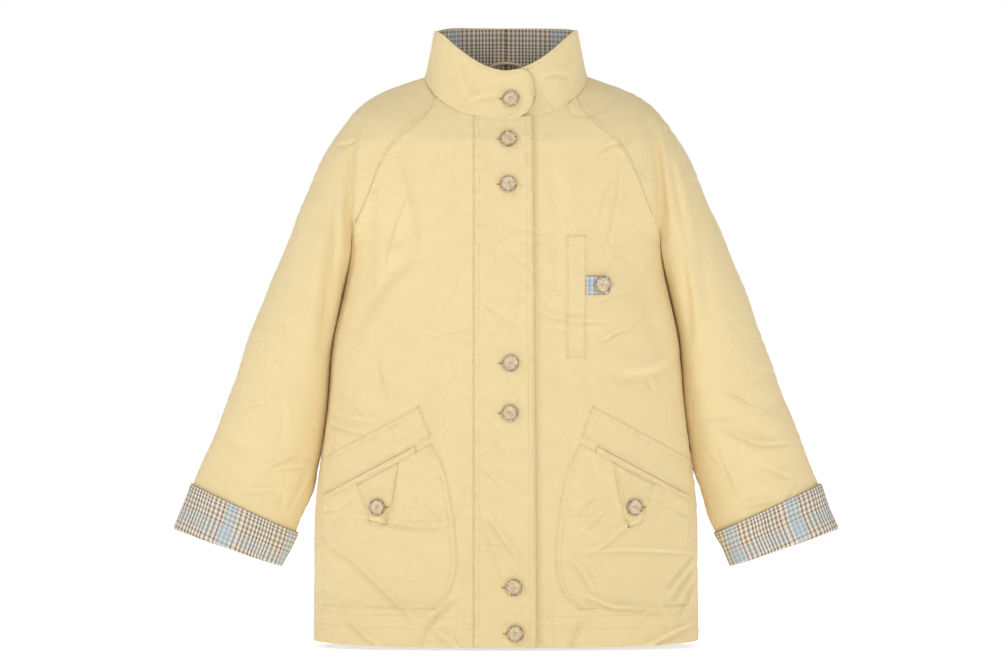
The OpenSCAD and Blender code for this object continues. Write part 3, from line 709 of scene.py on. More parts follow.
def sheet_object(name, grid, material, thickness=CLOTH, flip=False, edges="", uv=None, closed=False,
                 stitched=(), roll=0.45):
    """A closed thin solid whose outer face is the grid, in millimetres, with its cloth map in metres."""
    normals = grid_normals(grid, closed) * (-1 if flip else 1)
    near = edge_distance(grid, edges)
    drop = roll * np.exp(-(near / 1.5) ** 2)
    for line in stitched:
        drop = drop + 0.4 * np.exp(-((near - line) / 1.5) ** 2)
    if edges:
        pucker = 1.3 * np.exp(-(near / 11) ** 2) * (1 - np.exp(-(near / 2.5) ** 2))
        drop = drop - pucker * ripples(grid, 13, 77)
    outer = grid - normals * drop[..., None]
    inner = grid - normals * (thickness + 0.35 * drop)[..., None]
    rows, columns = grid.shape[:2]
    if uv is None:
        uv = np.stack([lengths_along(grid, 1), lengths_along(grid, 0)], -1) * MM
    if closed:
        columns -= 1
        outer, inner, uv_grid = outer[:, :-1], inner[:, :-1], uv
    else:
        uv_grid = uv
    count = rows * columns
    quads, maps = [], []
    index = np.arange(count).reshape(rows, columns)
    wrap = columns if closed else columns - 1
    j, i = np.meshgrid(np.arange(rows - 1), np.arange(wrap), indexing="ij")
    right = (i + 1) % columns
    quad = np.stack([index[j, i], index[j, right], index[j + 1, right], index[j + 1, i]], -1).reshape(-1, 4)
    corner = np.stack([uv_grid[j, i], uv_grid[j, i + 1], uv_grid[j + 1, i + 1], uv_grid[j + 1, i]], -2)
    corner = corner.reshape(-1, 4, 2)
    quads += [quad, quad[:, ::-1] + count]
    maps += [corner, corner[:, ::-1]]
    rims = [(index[0], uv_grid[0], 1), (index[-1], uv_grid[-1], -1)]
    if not closed:
        rims += [(index[:, 0], uv_grid[:, 0], -1), (index[:, -1], uv_grid[:, -1], 1)]
    for line, place, way in rims:
        if closed:
            line = np.append(line, line[0])
        a, b = line[:-1], line[1:]
        strip = np.stack([b, a, a + count, b + count], -1)
        map_strip = np.stack([place[1:], place[:-1], place[:-1], place[1:]], -2)
        quads.append(strip if way > 0 else strip[:, ::-1])
        maps.append(map_strip if way > 0 else map_strip[:, ::-1])
    faces, corners = np.concatenate(quads), np.concatenate(maps)
    if flip:
        faces, corners = faces[:, ::-1], corners[:, ::-1]
    points = np.concatenate([outer.reshape(-1, 3), inner.reshape(-1, 3)]) * MM
    mesh = bpy.data.meshes.new(name)
    mesh.from_pydata(points.tolist(), [], faces.tolist())
    mesh.uv_layers.new(name="cloth").data.foreach_set("uv", corners.reshape(-1))
    # The seam attribute darkens the cloth near its edges and seams: partly dirt, partly painted shade.
    edge_grime_and_shade = np.exp(-(near / 1.6) ** 2)
    edge_grime_and_shade = (edge_grime_and_shade[:, :-1] if closed else edge_grime_and_shade).reshape(-1)
    mesh.attributes.new("seam", "FLOAT", "POINT").data.foreach_set("value", np.tile(edge_grime_and_shade, 2))
    reach = np.minimum(near, 60)
    reach = (reach[:, :-1] if closed else reach).reshape(-1)
    mesh.attributes.new("from_seam", "FLOAT", "POINT").data.foreach_set("value", np.tile(reach, 2))
    mesh.polygons.foreach_set("use_smooth", np.ones(len(faces), bool))
    mesh.materials.append(material)
    piece = bpy.data.objects.new(name, mesh)
    bpy.context.collection.objects.link(piece)
    return piece


def declare(nodes):
    """Hides the CAD nodes that the piece stands for."""
    if nodes:
        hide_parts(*nodes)


def front_blend(piece, side):
    """Works out the front's fold line but does not use it: the piece's transform is only baked into its mesh.
    """
    pivot = Vector((side * FOLD_TOP, -101.5, -64))
    foot = Vector((side * FOLD_HEM, -109.2, HEM))
    axis = (foot - pivot).normalized()
    way = Vector((-side * 0.94, -0.34, 0))
    way = (way - axis * way.dot(axis)).normalized()
    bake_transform(piece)


def sleeve_blend(piece):
    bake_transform(piece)


def seam_angle(s):
    """Where a body panel ends: the side seam, then the raglan seam above the underarm."""
    return np.where(s < UNDERARM, 0.0, angle_at(raglan_x(s), s))


NAME = {RIGHT: "right", LEFT: "left"}
STATIONS = np.concatenate([[HEM, HEM + 0.7, HEM + 1.6], np.linspace(HEM + 3, -3, 300), [-1.2, -0.4]])


def side_grid(side, far_x, level, stations=STATIONS, count=112, lapped=False):
    """From the side or raglan seam to a distance across the front, as a grid that runs up the body."""
    s = stations[:, None]
    u = spread(count)[None, :]
    edge = seam_angle(s)
    reach = far_x(s) if callable(far_x) else far_x + 0 * s
    end = np.where(reach * side >= 0, angle_at(reach, s), 180 - angle_at(reach, s))
    w = mix(edge, end, u)
    where_side = np.where(w <= 90, side, -side)
    return torso(where_side, s + 0 * w, np.where(w <= 90, w, 180 - w), level, lapped)


def make_fronts():
    for side in (RIGHT, LEFT):
        end = side * (BAND_SEAM + 0.3) if side == RIGHT else -32.0
        grid = side_grid(side, end, 0.0, lapped=side == RIGHT)
        name = NAME[side]
        piece = sheet_object(f"front_cloth_{name}", grid, BODY_CLOTH, flip=side == LEFT, edges="lrbt")
        declare((f"front_side_{name}", f"front_{name}"))
        front_blend(piece, side)
        for height in (24.0, 40.0):
            add_stitches(f"front_{name}", inset(grid, "b", height, side == LEFT))


def band_edge(s):
    return BAND_LAP - 3 + 6 * (-s / -HEM)


def make_band():
    s = STATIONS[:, None]
    for name, start, trim, level, node in (("front_band_cloth", -BAND_SEAM, 0.0, 0.0, "front_band"),
                                           ("band_facing", -BAND_SEAM + 1, 1.5, FACING_LEVEL,
                                            "front_facing_right")):
        x = mix(start, band_edge(s) - trim, spread(30)[None, :])
        station = mix(HEM + trim, -3.0, (s - HEM) / -HEM)
        grid = front(x, station + 0 * x, level, lapped=True)
        piece = sheet_object(name, grid, BODY_CLOTH, edges="lrbt", stitched=(4.0,))
        declare((node,))
        front_blend(piece, RIGHT)
        if node == "front_band":
            for edge in "lr":
                add_stitches("front_right", inset(grid, edge, 2.5))
                add_stitches("front_right", inset(grid, edge, 8.0))
    x = mix(-31.0, BAND_SEAM, spread(20)[None, :])
    grid = front(x, s[::2] + 0 * x[:1], FACING_LEVEL)
    piece = sheet_object("under_facing", grid, BODY_CLOTH, edges="lr")
    declare(("front_facing_left",))
    front_blend(piece, LEFT)


def make_back():
    s = STATIONS[:, None]
    edge = np.minimum(-0.05, -seam_angle(s))
    u = spread(150)[None, :]
    w = mix(edge, -180 - edge, u)
    side = np.where(w >= -90, RIGHT, LEFT)
    grid = torso(side, s + 0 * w, np.where(w >= -90, w, -180 - w))
    piece = sheet_object("back_cloth", grid, BODY_CLOTH, flip=True, edges="lrbt")
    declare(("back_panel",))
    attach(piece, "shell")
    for height in (24.0, 40.0):
        add_stitches("shell", inset(grid, "b", height, True))
    low = np.linspace(HEM + HEM_TURN - 3, -1, 110)[:, None]
    edge = np.minimum(-0.05, -seam_angle(low))
    w = mix(edge, -180 - edge, np.linspace(0, 1, 70)[None, :])
    side = np.where(w >= -90, RIGHT, LEFT)
    grid = torso(side, low + 0 * w, np.where(w >= -90, w, -180 - w), LINING_LEVEL)
    uv = np.stack([lengths_along(grid, 1), lengths_along(grid, 0)], -1) * MM
    piece = sheet_object("lining_back_cloth", grid, PLAID_CLOTH, LINING, flip=True, uv=uv)
    declare(("lining_back",))
    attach(piece, "shell")


def make_front_linings():
    low = np.linspace(HEM + HEM_TURN - 3, -4, 110)
    for side in (RIGHT, LEFT):
        grid = side_grid(side, side * BAND_SEAM, LINING_LEVEL, low, 44)
        name = NAME[side]
        piece = sheet_object(f"lining_cloth_{name}", grid, PLAID_CLOTH, LINING, flip=side == LEFT)
        declare((f"lining_side_{name}", f"lining_front_{name}"))
        front_blend(piece, side)


def make_hem_turns():
    low = np.linspace(HEM + 1, HEM + HEM_TURN, 14)
    for side in (RIGHT, LEFT):
        grid = side_grid(side, side * BAND_SEAM, TURNED_LEVEL, low, 60)
        piece = sheet_object(f"hem_turn_{NAME[side]}", grid, BODY_CLOTH, 0.9, flip=side == LEFT, edges="t")
        declare(())
        front_blend(piece, side)
    w = np.linspace(-0.05, -179.95, 110)[None, :]
    s = low[:, None]
    side = np.where(w >= -90, RIGHT, LEFT)
    grid = torso(side, s + 0 * w, np.where(w >= -90, w, -180 - w), TURNED_LEVEL)
    piece = sheet_object("hem_turn_back", grid, BODY_CLOTH, 0.9, flip=True, edges="t")
    declare(("hem_turn_up",))
    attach(piece, "shell")




# ---------------------------------------------------------------- stitches
STITCH_LINES = {}


def add_stitches(group, line):
    STITCH_LINES.setdefault(group, []).append(np.asarray(line))


def inset(grid, edge, distance, flip=False):
    """The line on a grid that keeps a distance from one of its edges, just proud of the cloth."""
    proud = grid + grid_normals(grid) * (-0.05 if flip else 0.05)
    g = proud if edge in "tb" else proud.transpose(1, 0, 2)
    g = g[::-1] if edge in "tr" else g
    run = lengths_along(g, 0)
    line = np.empty((g.shape[1], 3))
    for k in range(g.shape[1]):
        for c in range(3):
            line[k, c] = np.interp(distance, run[:, k], g[:, k, c])
    return line


def stitch_group():
    tree = bpy.data.node_groups.new("seam_stitches", "GeometryNodeTree")
    face = tree.interface
    face.new_socket("Geometry", in_out="INPUT", socket_type="NodeSocketGeometry")
    for label, value in (("Pitch", 0.0036), ("Stitch Length", 0.0027), ("Thread Radius", 0.00034)):
        face.new_socket(label, in_out="INPUT", socket_type="NodeSocketFloat").default_value = value
    face.new_socket("Geometry", in_out="OUTPUT", socket_type="NodeSocketGeometry")
    source, out = tree.nodes.new("NodeGroupInput"), tree.nodes.new("NodeGroupOutput")
    link = tree.links.new
    curve = tree.nodes.new("GeometryNodeMeshToCurve")
    link(source.outputs["Geometry"], curve.inputs[0])
    points = tree.nodes.new("GeometryNodeCurveToPoints")
    points.mode = "LENGTH"
    link(curve.outputs[0], points.inputs["Curve"])
    link(source.outputs["Pitch"], points.inputs["Length"])
    bead = tree.nodes.new("GeometryNodeMeshUVSphere")
    bead.inputs["Segments"].default_value = 6
    bead.inputs["Rings"].default_value = 4
    bead.inputs["Radius"].default_value = 1.0
    size = tree.nodes.new("ShaderNodeCombineXYZ")
    half = tree.nodes.new("ShaderNodeMath")
    half.operation = "MULTIPLY"
    half.inputs[1].default_value = 0.5
    link(source.outputs["Stitch Length"], half.inputs[0])
    link(source.outputs["Thread Radius"], size.inputs[0])
    link(source.outputs["Thread Radius"], size.inputs[1])
    link(half.outputs[0], size.inputs[2])
    place = tree.nodes.new("GeometryNodeInstanceOnPoints")
    link(points.outputs["Points"], place.inputs["Points"])
    link(bead.outputs["Mesh"], place.inputs["Instance"])
    link(points.outputs["Rotation"], place.inputs["Rotation"])
    link(size.outputs[0], place.inputs["Scale"])
    real = tree.nodes.new("GeometryNodeRealizeInstances")
    link(place.outputs[0], real.inputs[0])
    dress = tree.nodes.new("GeometryNodeSetMaterial")
    dress.inputs["Material"].default_value = THREAD
    link(real.outputs[0], dress.inputs["Geometry"])
    link(dress.outputs[0], out.inputs[0])
    return tree


def make_stitches(group, lines, tree):
    """One mesh of stitches for all lines of a group."""
    points, edges = [], []
    for line in lines:
        first = len(points)
        points += (line * MM).tolist()
        edges += [(first + k, first + k + 1) for k in range(len(line) - 1)]
    mesh = bpy.data.meshes.new(f"stitch_lines_{group}")
    mesh.from_pydata(points, edges, [])
    lines_object = bpy.data.objects.new(f"stitch_lines_{group}", mesh)
    bpy.context.collection.objects.link(lines_object)
    modifier = lines_object.modifiers.new("stitches", "NODES")
    modifier.node_group = tree
    sizes = {"Pitch": 0.0036, "Stitch Length": 0.0027, "Thread Radius": 0.00034}
    for socket in tree.interface.items_tree:
        if socket.name in sizes:
            modifier[socket.identifier] = sizes[socket.name]
    graph = bpy.context.evaluated_depsgraph_get()
    made = bpy.data.meshes.new_from_object(lines_object.evaluated_get(graph))
    bpy.data.objects.remove(lines_object)
    piece = bpy.data.objects.new(f"stitches_{group}", made)
    bpy.context.collection.objects.link(piece)
    made.polygons.foreach_set("use_smooth", np.ones(len(made.polygons), bool))
    return piece


def follow(piece, group):
    """Moves a piece with a body; for a front or a sleeve it only bakes the piece's transform into its mesh.
    """
    if group in ("front_right", "front_left"):
        front_blend(piece, RIGHT if group == "front_right" else LEFT)
    elif group in ("sleeve_right", "sleeve_left"):
        sleeve_blend(piece)
    else:
        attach(piece, group)


# ---------------------------------------------------------------- sleeves
WRIST_V = 1.0
CUFF_START = 1 - 62 / 586.8
OUTER_RUN = np.array([232.0, -539.0])
bulge = rounded([(0, 0), (0.05, 8), (0.15, 13), (0.3, 14), (0.5, 11), (0.75, 2), (1, 0)], 0.06)
half_depth = rounded([(0, 57), (0.15, 62), (0.35, 60), (0.6, 46.9), (0.85, 32.4), (1, 28)], 0.08)


def sleeve_plain(side, face, v, turn):
    """A point on the plain sleeve: turn 0 on the outer line, 180 on the inner line."""
    v, turn = np.broadcast_arrays(v, turn)
    wave = smooth(v / 0.12) * smooth((1.02 - v) / 0.1)
    swell = bulge(v) + wave * (0.9 * np.sin(v * 17 + side) + 0.5 * np.sin(v * 41 + 2.1 * side))
    outer_x = 204 + v * OUTER_RUN[0] + swell * 539 / 586.8 - 6 * smooth(v / 0.25)
    outer_z = -62 + v * OUTER_RUN[1] + swell * 232 / 586.8
    inner_z = mix(-240.0, -648.9, v)
    inner_x = np.logaddexp((half_w(inner_z) - 1) / 8, (293 - (inner_z + 648.9) * 0.475) / 8) * 8
    inner_x = inner_x + wave * 1.6 * np.sin(v * 33 + 1.4 * side) * smooth((v - 0.6) / 0.15)
    r = np.radians(turn)
    c = np.cos(r)
    x = (outer_x + inner_x) / 2 + (outer_x - inner_x) / 2 * c
    z = (outer_z + inner_z) / 2 + (outer_z - inner_z) / 2 * c
    return np.stack([side * x, -half_depth(v) * np.sin(r) * face, z], -1)


def raglan_patch(side, face, rows, q):
    """From the neck to the armhole, between the shoulder ridge and the raglan seam."""
    p, q = np.broadcast_arrays(np.linspace(0, 1, rows)[:, None], q[None, :])
    down = mix(q, (1 - np.cos(np.pi * q)) / 2, p)
    s = mix(-60.0 * p, -240.0 * p, down)
    ridge, seam = half_w(-60 * p), raglan_x(-240 * p)
    underarm = half_w(UNDERARM)
    hole = mix(200.0, underarm, smooth((q - 0.8) / 0.2))
    corners = (1 - p) * mix(105.0, 90.0, q) + p * mix(200.0, underarm, q)
    x = (1 - p) * mix(105.0, 90.0, q) + p * hole + (1 - q) * ridge + q * seam - corners
    angle = angle_at(np.minimum(x, half_w(s)), s) * face
    return body(side, s, angle), body_normal(side, s, angle)


def away_from(grid, centres):
    """True where the grid's own normals point towards the given centres, so that it must be flipped."""
    return float((grid_normals(grid) * (grid - centres)).sum()) < 0


def axis_of(grid):
    centres = grid.copy()
    centres[..., :2] = 0
    return centres


def sleeve_grid(side, face, level, rows=52, columns=84, sleeve_rows=240, end=WRIST_V):
    q = spread(columns)
    patch, body_way = raglan_patch(side, face, rows, q)
    v = np.linspace(0, end, sleeve_rows)[1:, None]
    tube = sleeve_plain(side, face, v, 180 * q[None, :])
    shift = patch[-1] - sleeve_plain(side, face, np.zeros(1), 180 * q)
    tube = tube + shift[None] * (1 - smooth(v / 0.15))[..., None]
    grid = np.concatenate([patch, tube])
    ease = (1 - smooth((q - 0.7) / 0.2))[None, :, None]
    for _ in range(10):  # ease the turn from shoulder to sleeve
        near = grid[rows - 8:rows + 14]
        between = (grid[rows - 9:rows + 13] + 2 * near + grid[rows - 7:rows + 15]) / 4
        grid[rows - 8:rows + 14] = mix(near, between, ease)
    normals = grid_normals(grid)
    centres = grid.mean(axis=1, keepdims=True) * np.array([1, 0, 1])
    flip = float((normals * (grid - centres))[rows:].sum()) < 0
    normals = normals * (-1 if flip else 1)
    by_seam = smooth((q - 0.6) / 0.3)[None, :, None]
    normals[:rows] = unit(mix(normals[:rows], body_way, by_seam))
    if face == FRONT:
        past = np.arange(len(grid)) - rows
        off_body = smooth(past / 24)[:, None]
        plain = relief(grid, FRONT, [])
        lift = relief(grid, FRONT, FRONT_CREASES) * (1 - off_body) + plain * off_body
        off_seam = np.maximum(smooth(past / 16)[:, None], smooth((1 - q) / 0.3)[None, :])
        lift = lift + relief(grid, FRONT, ARMHOLE_CREASES) - plain
        lift = lift + (relief(grid, FRONT, SLEEVE_CREASES) - plain) * off_seam
    else:
        lift = relief(grid, BACK, BACK_CREASES)
    return grid + normals * (lift + level)[..., None], flip, rows


def make_sleeves():
    for side in (RIGHT, LEFT):
        name = NAME[side]
        for face, word in ((FRONT, "front"), (BACK, "back")):
            grid, flip, rows = sleeve_grid(side, face, 0.0)
            piece = sheet_object(f"sleeve_{word}_{name}_cloth", grid, BODY_CLOTH, flip=flip, edges="lrb")
            declare((f"shoulder_{word}_{name}", f"sleeve_{word}_{name}"))
            sleeve_blend(piece)
            add_stitches(f"sleeve_{name}", inset(grid[:rows], "r", 2.0, flip))
            add_stitches(f"sleeve_{name}", inset(grid[8:rows], "r", 7.0, flip))
            lining, flip, _ = sleeve_grid(side, face, LINING_LEVEL, 30, 34, 96, 11 / 12)
            piece = sheet_object(f"sleeve_lining_{word}_{name}", lining, PLAID_CLOTH, LINING, flip=flip)
            declare((f"lining_shoulder_{name}", f"sleeve_lining_{name}"))
            sleeve_blend(piece)
        make_cuff(side)


def make_cuff(side):
    """The turned-back cuff: the plaid inside folded up over the sleeve end."""
    name = NAME[side]
    profile = [(v, 2.7) for v in np.linspace(CUFF_START, 0.996, 34)]
    profile += [(0.999, 2.5), (1.0015, 1.8), (1.0022, 0.8), (1.0018, -0.3), (1.0, -1.1), (0.996, -1.5)]
    profile += [(v, -1.5) for v in np.linspace(0.99, 0.94, 10)]
    v, level = np.array(profile).T
    turn = np.linspace(0, 360, 145)
    face = np.where(turn <= 180, 1.0, -1.0)
    around = np.where(turn <= 180, turn, 360 - turn)
    grid = sleeve_plain(side, face[None, :], v[:, None], around[None, :])
    centres = grid.mean(axis=1, keepdims=True) + 0 * grid
    normals = grid_normals(grid[:34], True)
    flip = float((normals * (grid - centres)[:34]).sum()) < 0
    normals = normals * (-1 if flip else 1)
    normals = np.concatenate([normals, np.repeat(normals[-1:], len(v) - 34, 0)])
    lift = relief(grid, FRONT, SLEEVE_CREASES)
    fade = 1 - smooth((v - CUFF_START)[:, None] * 18)
    wave = 0.7 * (1 + np.sin(np.radians(3 * turn + 40 * side))) * fade
    grid = grid + normals * (lift + level[:, None] + wave)[..., None]
    start = 0.009 * side
    uv = np.stack([lengths_along(grid, 1), lengths_along(grid, 0)], -1) * MM + np.array([start, 0.031])
    piece = sheet_object(f"cuff_cloth_{name}", grid, PLAID_CLOTH, 0.9, flip=flip, edges="b", uv=uv,
                         closed=True)
    declare((f"cuff_{name}",))
    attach(piece, f"sleeve_{name}")


make_fronts()
make_band()
make_back()
make_front_linings()
make_hem_turns()
make_sleeves()


# ---------------------------------------------------------------- collar
def collar_plain(side, angle, v, trim=1.0):
    """A plain point on the collar; past 90 the angle runs on to the other side of the front."""
    angle, v = np.broadcast_arrays(angle, v)
    past = angle > 90
    a = np.radians(np.where(past, 180 - angle, angle))
    forward = a > 0
    across = NECK_HALF_W - COLLAR_LEAN * v
    depth = np.where(forward, 78.0, 70.0) - COLLAR_LEAN * v
    x = np.where(past, -side, side) * across * signed_power(np.cos(a), 2 / POWER)
    y = -depth * signed_power(np.sin(a), 2 / POWER)
    base = mix(-14.0, np.where(forward, -70.0, -8.0), np.abs(np.sin(a)) ** 1.3) - 1.0
    dip = COLLAR_DIP * (1 - np.minimum(1, np.abs(x) / (NECK_HALF_W - COLLAR_LEAN)) ** 1.8)
    top = COLLAR_TOP - np.where(forward, dip, 0)
    wave = 0.9 * np.sin(np.radians(angle) * 3.1 + side) * np.cos(np.radians(angle))
    top = top - 6 * np.abs(np.cos(a)) ** 7 + wave
    if side == RIGHT:
        end = np.where(past, np.maximum(0, (x - 8) / 30), 0)
        share = np.sqrt(np.maximum(0.04, 1 - np.minimum(1, end) ** 2.2))
        v = 0.5 + (v - 0.5) * share * trim
    return np.stack([x, y, mix(base, top, v)], -1)


def collar_grid(side, level, trim, start, end_x):
    end = 180 - math.degrees(math.acos((end_x / NECK_HALF_W) ** (POWER / 2)))
    angle = mix(-90.0, end, spread(150))[None, :]
    v = mix(start, 1 - start, spread(34))[:, None]
    grid = collar_plain(side, angle, v, trim)
    normals = grid_normals(grid)
    flip = float((normals * (grid - axis_of(grid))).sum()) < 0
    normals = normals * (-1 if flip else 1)
    x = grid[..., 0]
    lift = np.where(grid[..., 1] < 0, relief(grid, FRONT, FRONT_CREASES), relief(grid, BACK, []))
    stand = 0.9 * np.exp(-(v / 0.12) ** 2)
    grid = grid + normals * (lift + level + stand)[..., None]
    if side == RIGHT:
        grid[..., 1] -= lap_rise(x) * (angle > 60)
    return grid, flip


def make_collar():
    for side, end_x in ((RIGHT, COLLAR_LAP), (LEFT, 18.0)):
        name = NAME[side]
        grid, flip = collar_grid(side, 0.0, 1.0, 0.0, end_x)
        piece = sheet_object(f"collar_cloth_{name}", grid, BODY_CLOTH, flip=flip, edges="rt")
        declare(("collar_back", f"collar_end_{name}"))
        front_blend(piece, side)
        for edge in "tr":
            add_stitches(f"front_{name}", inset(grid, edge, 4.5, flip))
        grid, flip = collar_grid(side, -1.7, 0.98, 0.012, end_x - 1.2)
        piece = sheet_object(f"collar_facing_{name}", grid, PLAID_CLOTH, 0.9, flip=flip)
        declare(("collar_back_facing", f"collar_facing_{name}"))
        front_blend(piece, side)


make_collar()


# ---------------------------------------------------------------- pockets and tabs
POCKET_FOOT = -702.0
WELT = 11.0
POCKET_BAND = 48.0
TAB_MIDDLE, TAB_TOP, TAB_END, TAB_DROP = 164.0, 27.0, 11.0, 73.0
pocket_side = rounded([(0, 92), (0.06, 72), (0.25, 61), (0.55, 67), (0.8, 77), (1, 95)], 0.08)


def mouth_z(x):
    return mix(-493.0, -556.0, (x - 119) / 117)


def make_pocket(side):
    name = NAME[side]
    group = f"front_{name}"
    u, v = spread(62)[None, :], spread(74)[:, None]

    def add(word, x, z, level, nodes, edges, lines, material=BODY_CLOTH):
        grid = front(side * x, z, level)
        flip = away_from(grid, axis_of(grid))
        grid = grid + 0.3 * ripples(grid, 11, 31)[..., None] * np.array([0, -1, 0])
        piece = sheet_object(f"{word}_{name}", grid, material, 0.9, flip=flip, edges=edges)
        declare(nodes)
        follow(piece, group)
        for edge, gap in lines:
            add_stitches(group, inset(grid, edge, gap, flip))

    x = mix(pocket_side(v), 236.0, u)
    add("pocket_patch", x, mix(POCKET_FOOT, mouth_z(x) - WELT + 2, v), 1.0, (f"pocket_{name}",), "lrbt",
        (("l", 2.5), ("l", 8), ("b", 2.5)))
    top = spread(20)[:, None]
    x = mix(mix(96.0, 111.0, top), 238.0, u)
    band_z = mouth_z(x) + 0.6 + (POCKET_BAND - 0.6) * top
    add("pocket_top_cloth", x, band_z, 1.0, (f"pocket_top_{name}",), "lrbt",
        (("t", 2.5), ("t", 8), ("l", 2.5), ("b", 3)))
    slim = np.linspace(0, 1, 9)[:, None]
    x = mix(116.0, 236.0, u) + 0 * slim
    add("pocket_welt_cloth", x, mouth_z(x) - mix(WELT, 0.6, slim), 1.9, (f"pocket_welt_{name}",), "lrbt",
        (("b", 2.0),))
    make_tab(side)


def make_tab(side):
    name = NAME[side]
    u, v = np.linspace(0, 1, 30)[None, :], np.linspace(0, 1, 44)[:, None]
    width = mix(TAB_END, TAB_TOP, v)
    x = TAB_MIDDLE + width * (2 * u - 1)
    tip = 7 * (1 - np.maximum(0, np.abs(2 * u - 1) - 0.35) / 0.65) * (1 - v) ** 4
    z = mouth_z(mix(TAB_MIDDLE, x, v)) - WELT - mix(TAB_DROP - 10, 0, v) - tip
    lift = 2.4 + 0.6 * np.sin(np.pi * v) * (1 - 0.3 * u)
    grid = front(side * x, z, 0.0)
    flip = away_from(grid, axis_of(grid))
    grid = grid + grid_normals(grid) * (-1 if flip else 1) * lift[..., None]
    piece = sheet_object(f"tab_cloth_{name}", grid, BODY_CLOTH, flip=flip, edges="lrbt")
    declare((f"pocket_tab_{name}",))
    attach(piece, f"tab_{name}")
    for edge in "lrb":
        add_stitches(f"tab_{name}", inset(grid, edge, 3.0, flip))


def make_chest_pocket():
    u, v = spread(16)[None, :], spread(60)[:, None]
    x, z = mix(77.0, 103.0, u), mix(-380.0, -222.0, v)
    grid = front(x + 0 * z, z + 0 * x, 1.1)
    flip = away_from(grid, axis_of(grid))
    piece = sheet_object("chest_welt_cloth", grid, BODY_CLOTH, flip=flip, edges="lrbt")
    declare(("chest_welt",))
    follow(piece, "front_left")
    for edge in "lrbt":
        add_stitches("front_left", inset(grid, edge, 2.5, flip))
    u, v = np.linspace(0, 1, 24)[None, :], np.linspace(0, 1, 20)[:, None]
    x = 102 + u * (36 - 7 * np.abs(2 * v - 1))
    grid = front(x, -286 + 24 * (v - 0.5) + 0 * u, 1.5)
    flip = away_from(grid, axis_of(grid))
    grid[..., 1] -= 1.4 * np.sin(np.pi * u)
    uv = np.stack([grid[..., 0] - 102, grid[..., 2] + 298], -1) * MM + np.array([0.0585, 0.058])
    piece = sheet_object("chest_tab_cloth", grid, PLAID_CLOTH, flip=flip, edges="lrbt", uv=uv)
    declare(("chest_tab",))
    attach(piece, "tab_chest")
    v = np.linspace(0.01, 0.99, 26)[:, None]
    reach = 76 * np.sqrt(1 - (2 * v - 1) ** 2)
    grid = front(103 + reach * u, -278 + 44 * (2 * v - 1) + 0 * u, -4.6)
    flip = away_from(grid, axis_of(grid))
    piece = sheet_object("chest_pocket_bag_cloth", grid, PLAID_CLOTH, LINING, flip=flip)
    declare(("chest_pocket_bag",))
    follow(piece, "front_left")
    turn = np.linspace(-1.25, 1.25, 60)
    line = front(104 + 79 * np.cos(turn) ** 0.8, -300 + 52 * np.sin(turn) / np.sin(1.25), 0.1)
    add_stitches("front_left", line)


for pocket in (RIGHT, LEFT):
    make_pocket(pocket)
make_chest_pocket()


# ---------------------------------------------------------------- buttons, buttonholes, loop and label
BUTTON_R = 11.0


def join_object(name, parts, material):
    """One mesh from parts of (points, faces), in millimetres."""
    points, faces = [], []
    for part_points, part_faces in parts:
        faces += [[k + len(points) for k in face] for face in part_faces]
        points += [tuple(p) for p in part_points]
    mesh = bpy.data.meshes.new(name)
    mesh.from_pydata([(p[0] * MM, p[1] * MM, p[2] * MM) for p in points], [], faces)
    mesh.polygons.foreach_set("use_smooth", np.ones(len(faces), bool))
    mesh.materials.append(material)
    piece = bpy.data.objects.new(name, mesh)
    bpy.context.collection.objects.link(piece)
    return piece


def cord_part(path, radius, sides=8, closed=False):
    """A round cord along a path of points."""
    path = np.asarray(path, float)
    ahead = np.roll(path, -1, 0) - np.roll(path, 1, 0) if closed else np.gradient(path, axis=0)
    ahead = unit(ahead)
    helper = np.array([0.0, 0.0, 1.0]) if abs(ahead[0, 2]) < 0.8 else np.array([0.0, 1.0, 0.0])
    first = unit(np.cross(ahead, helper))
    second = np.cross(ahead, first)
    turn = np.linspace(0, math.tau, sides, endpoint=False)
    ring = first[:, None] * np.cos(turn)[None, :, None] + second[:, None] * np.sin(turn)[None, :, None]
    points = (path[:, None] + radius * ring).reshape(-1, 3)
    count, faces = len(path), []
    for j in range(count if closed else count - 1):
        after = (j + 1) % count
        for i in range(sides):
            k = (i + 1) % sides
            faces.append([j * sides + k, j * sides + i, after * sides + i, after * sides + k])
    if not closed:
        faces += [list(range(sides)), [(count - 1) * sides + i for i in reversed(range(sides))]]
    return points, faces


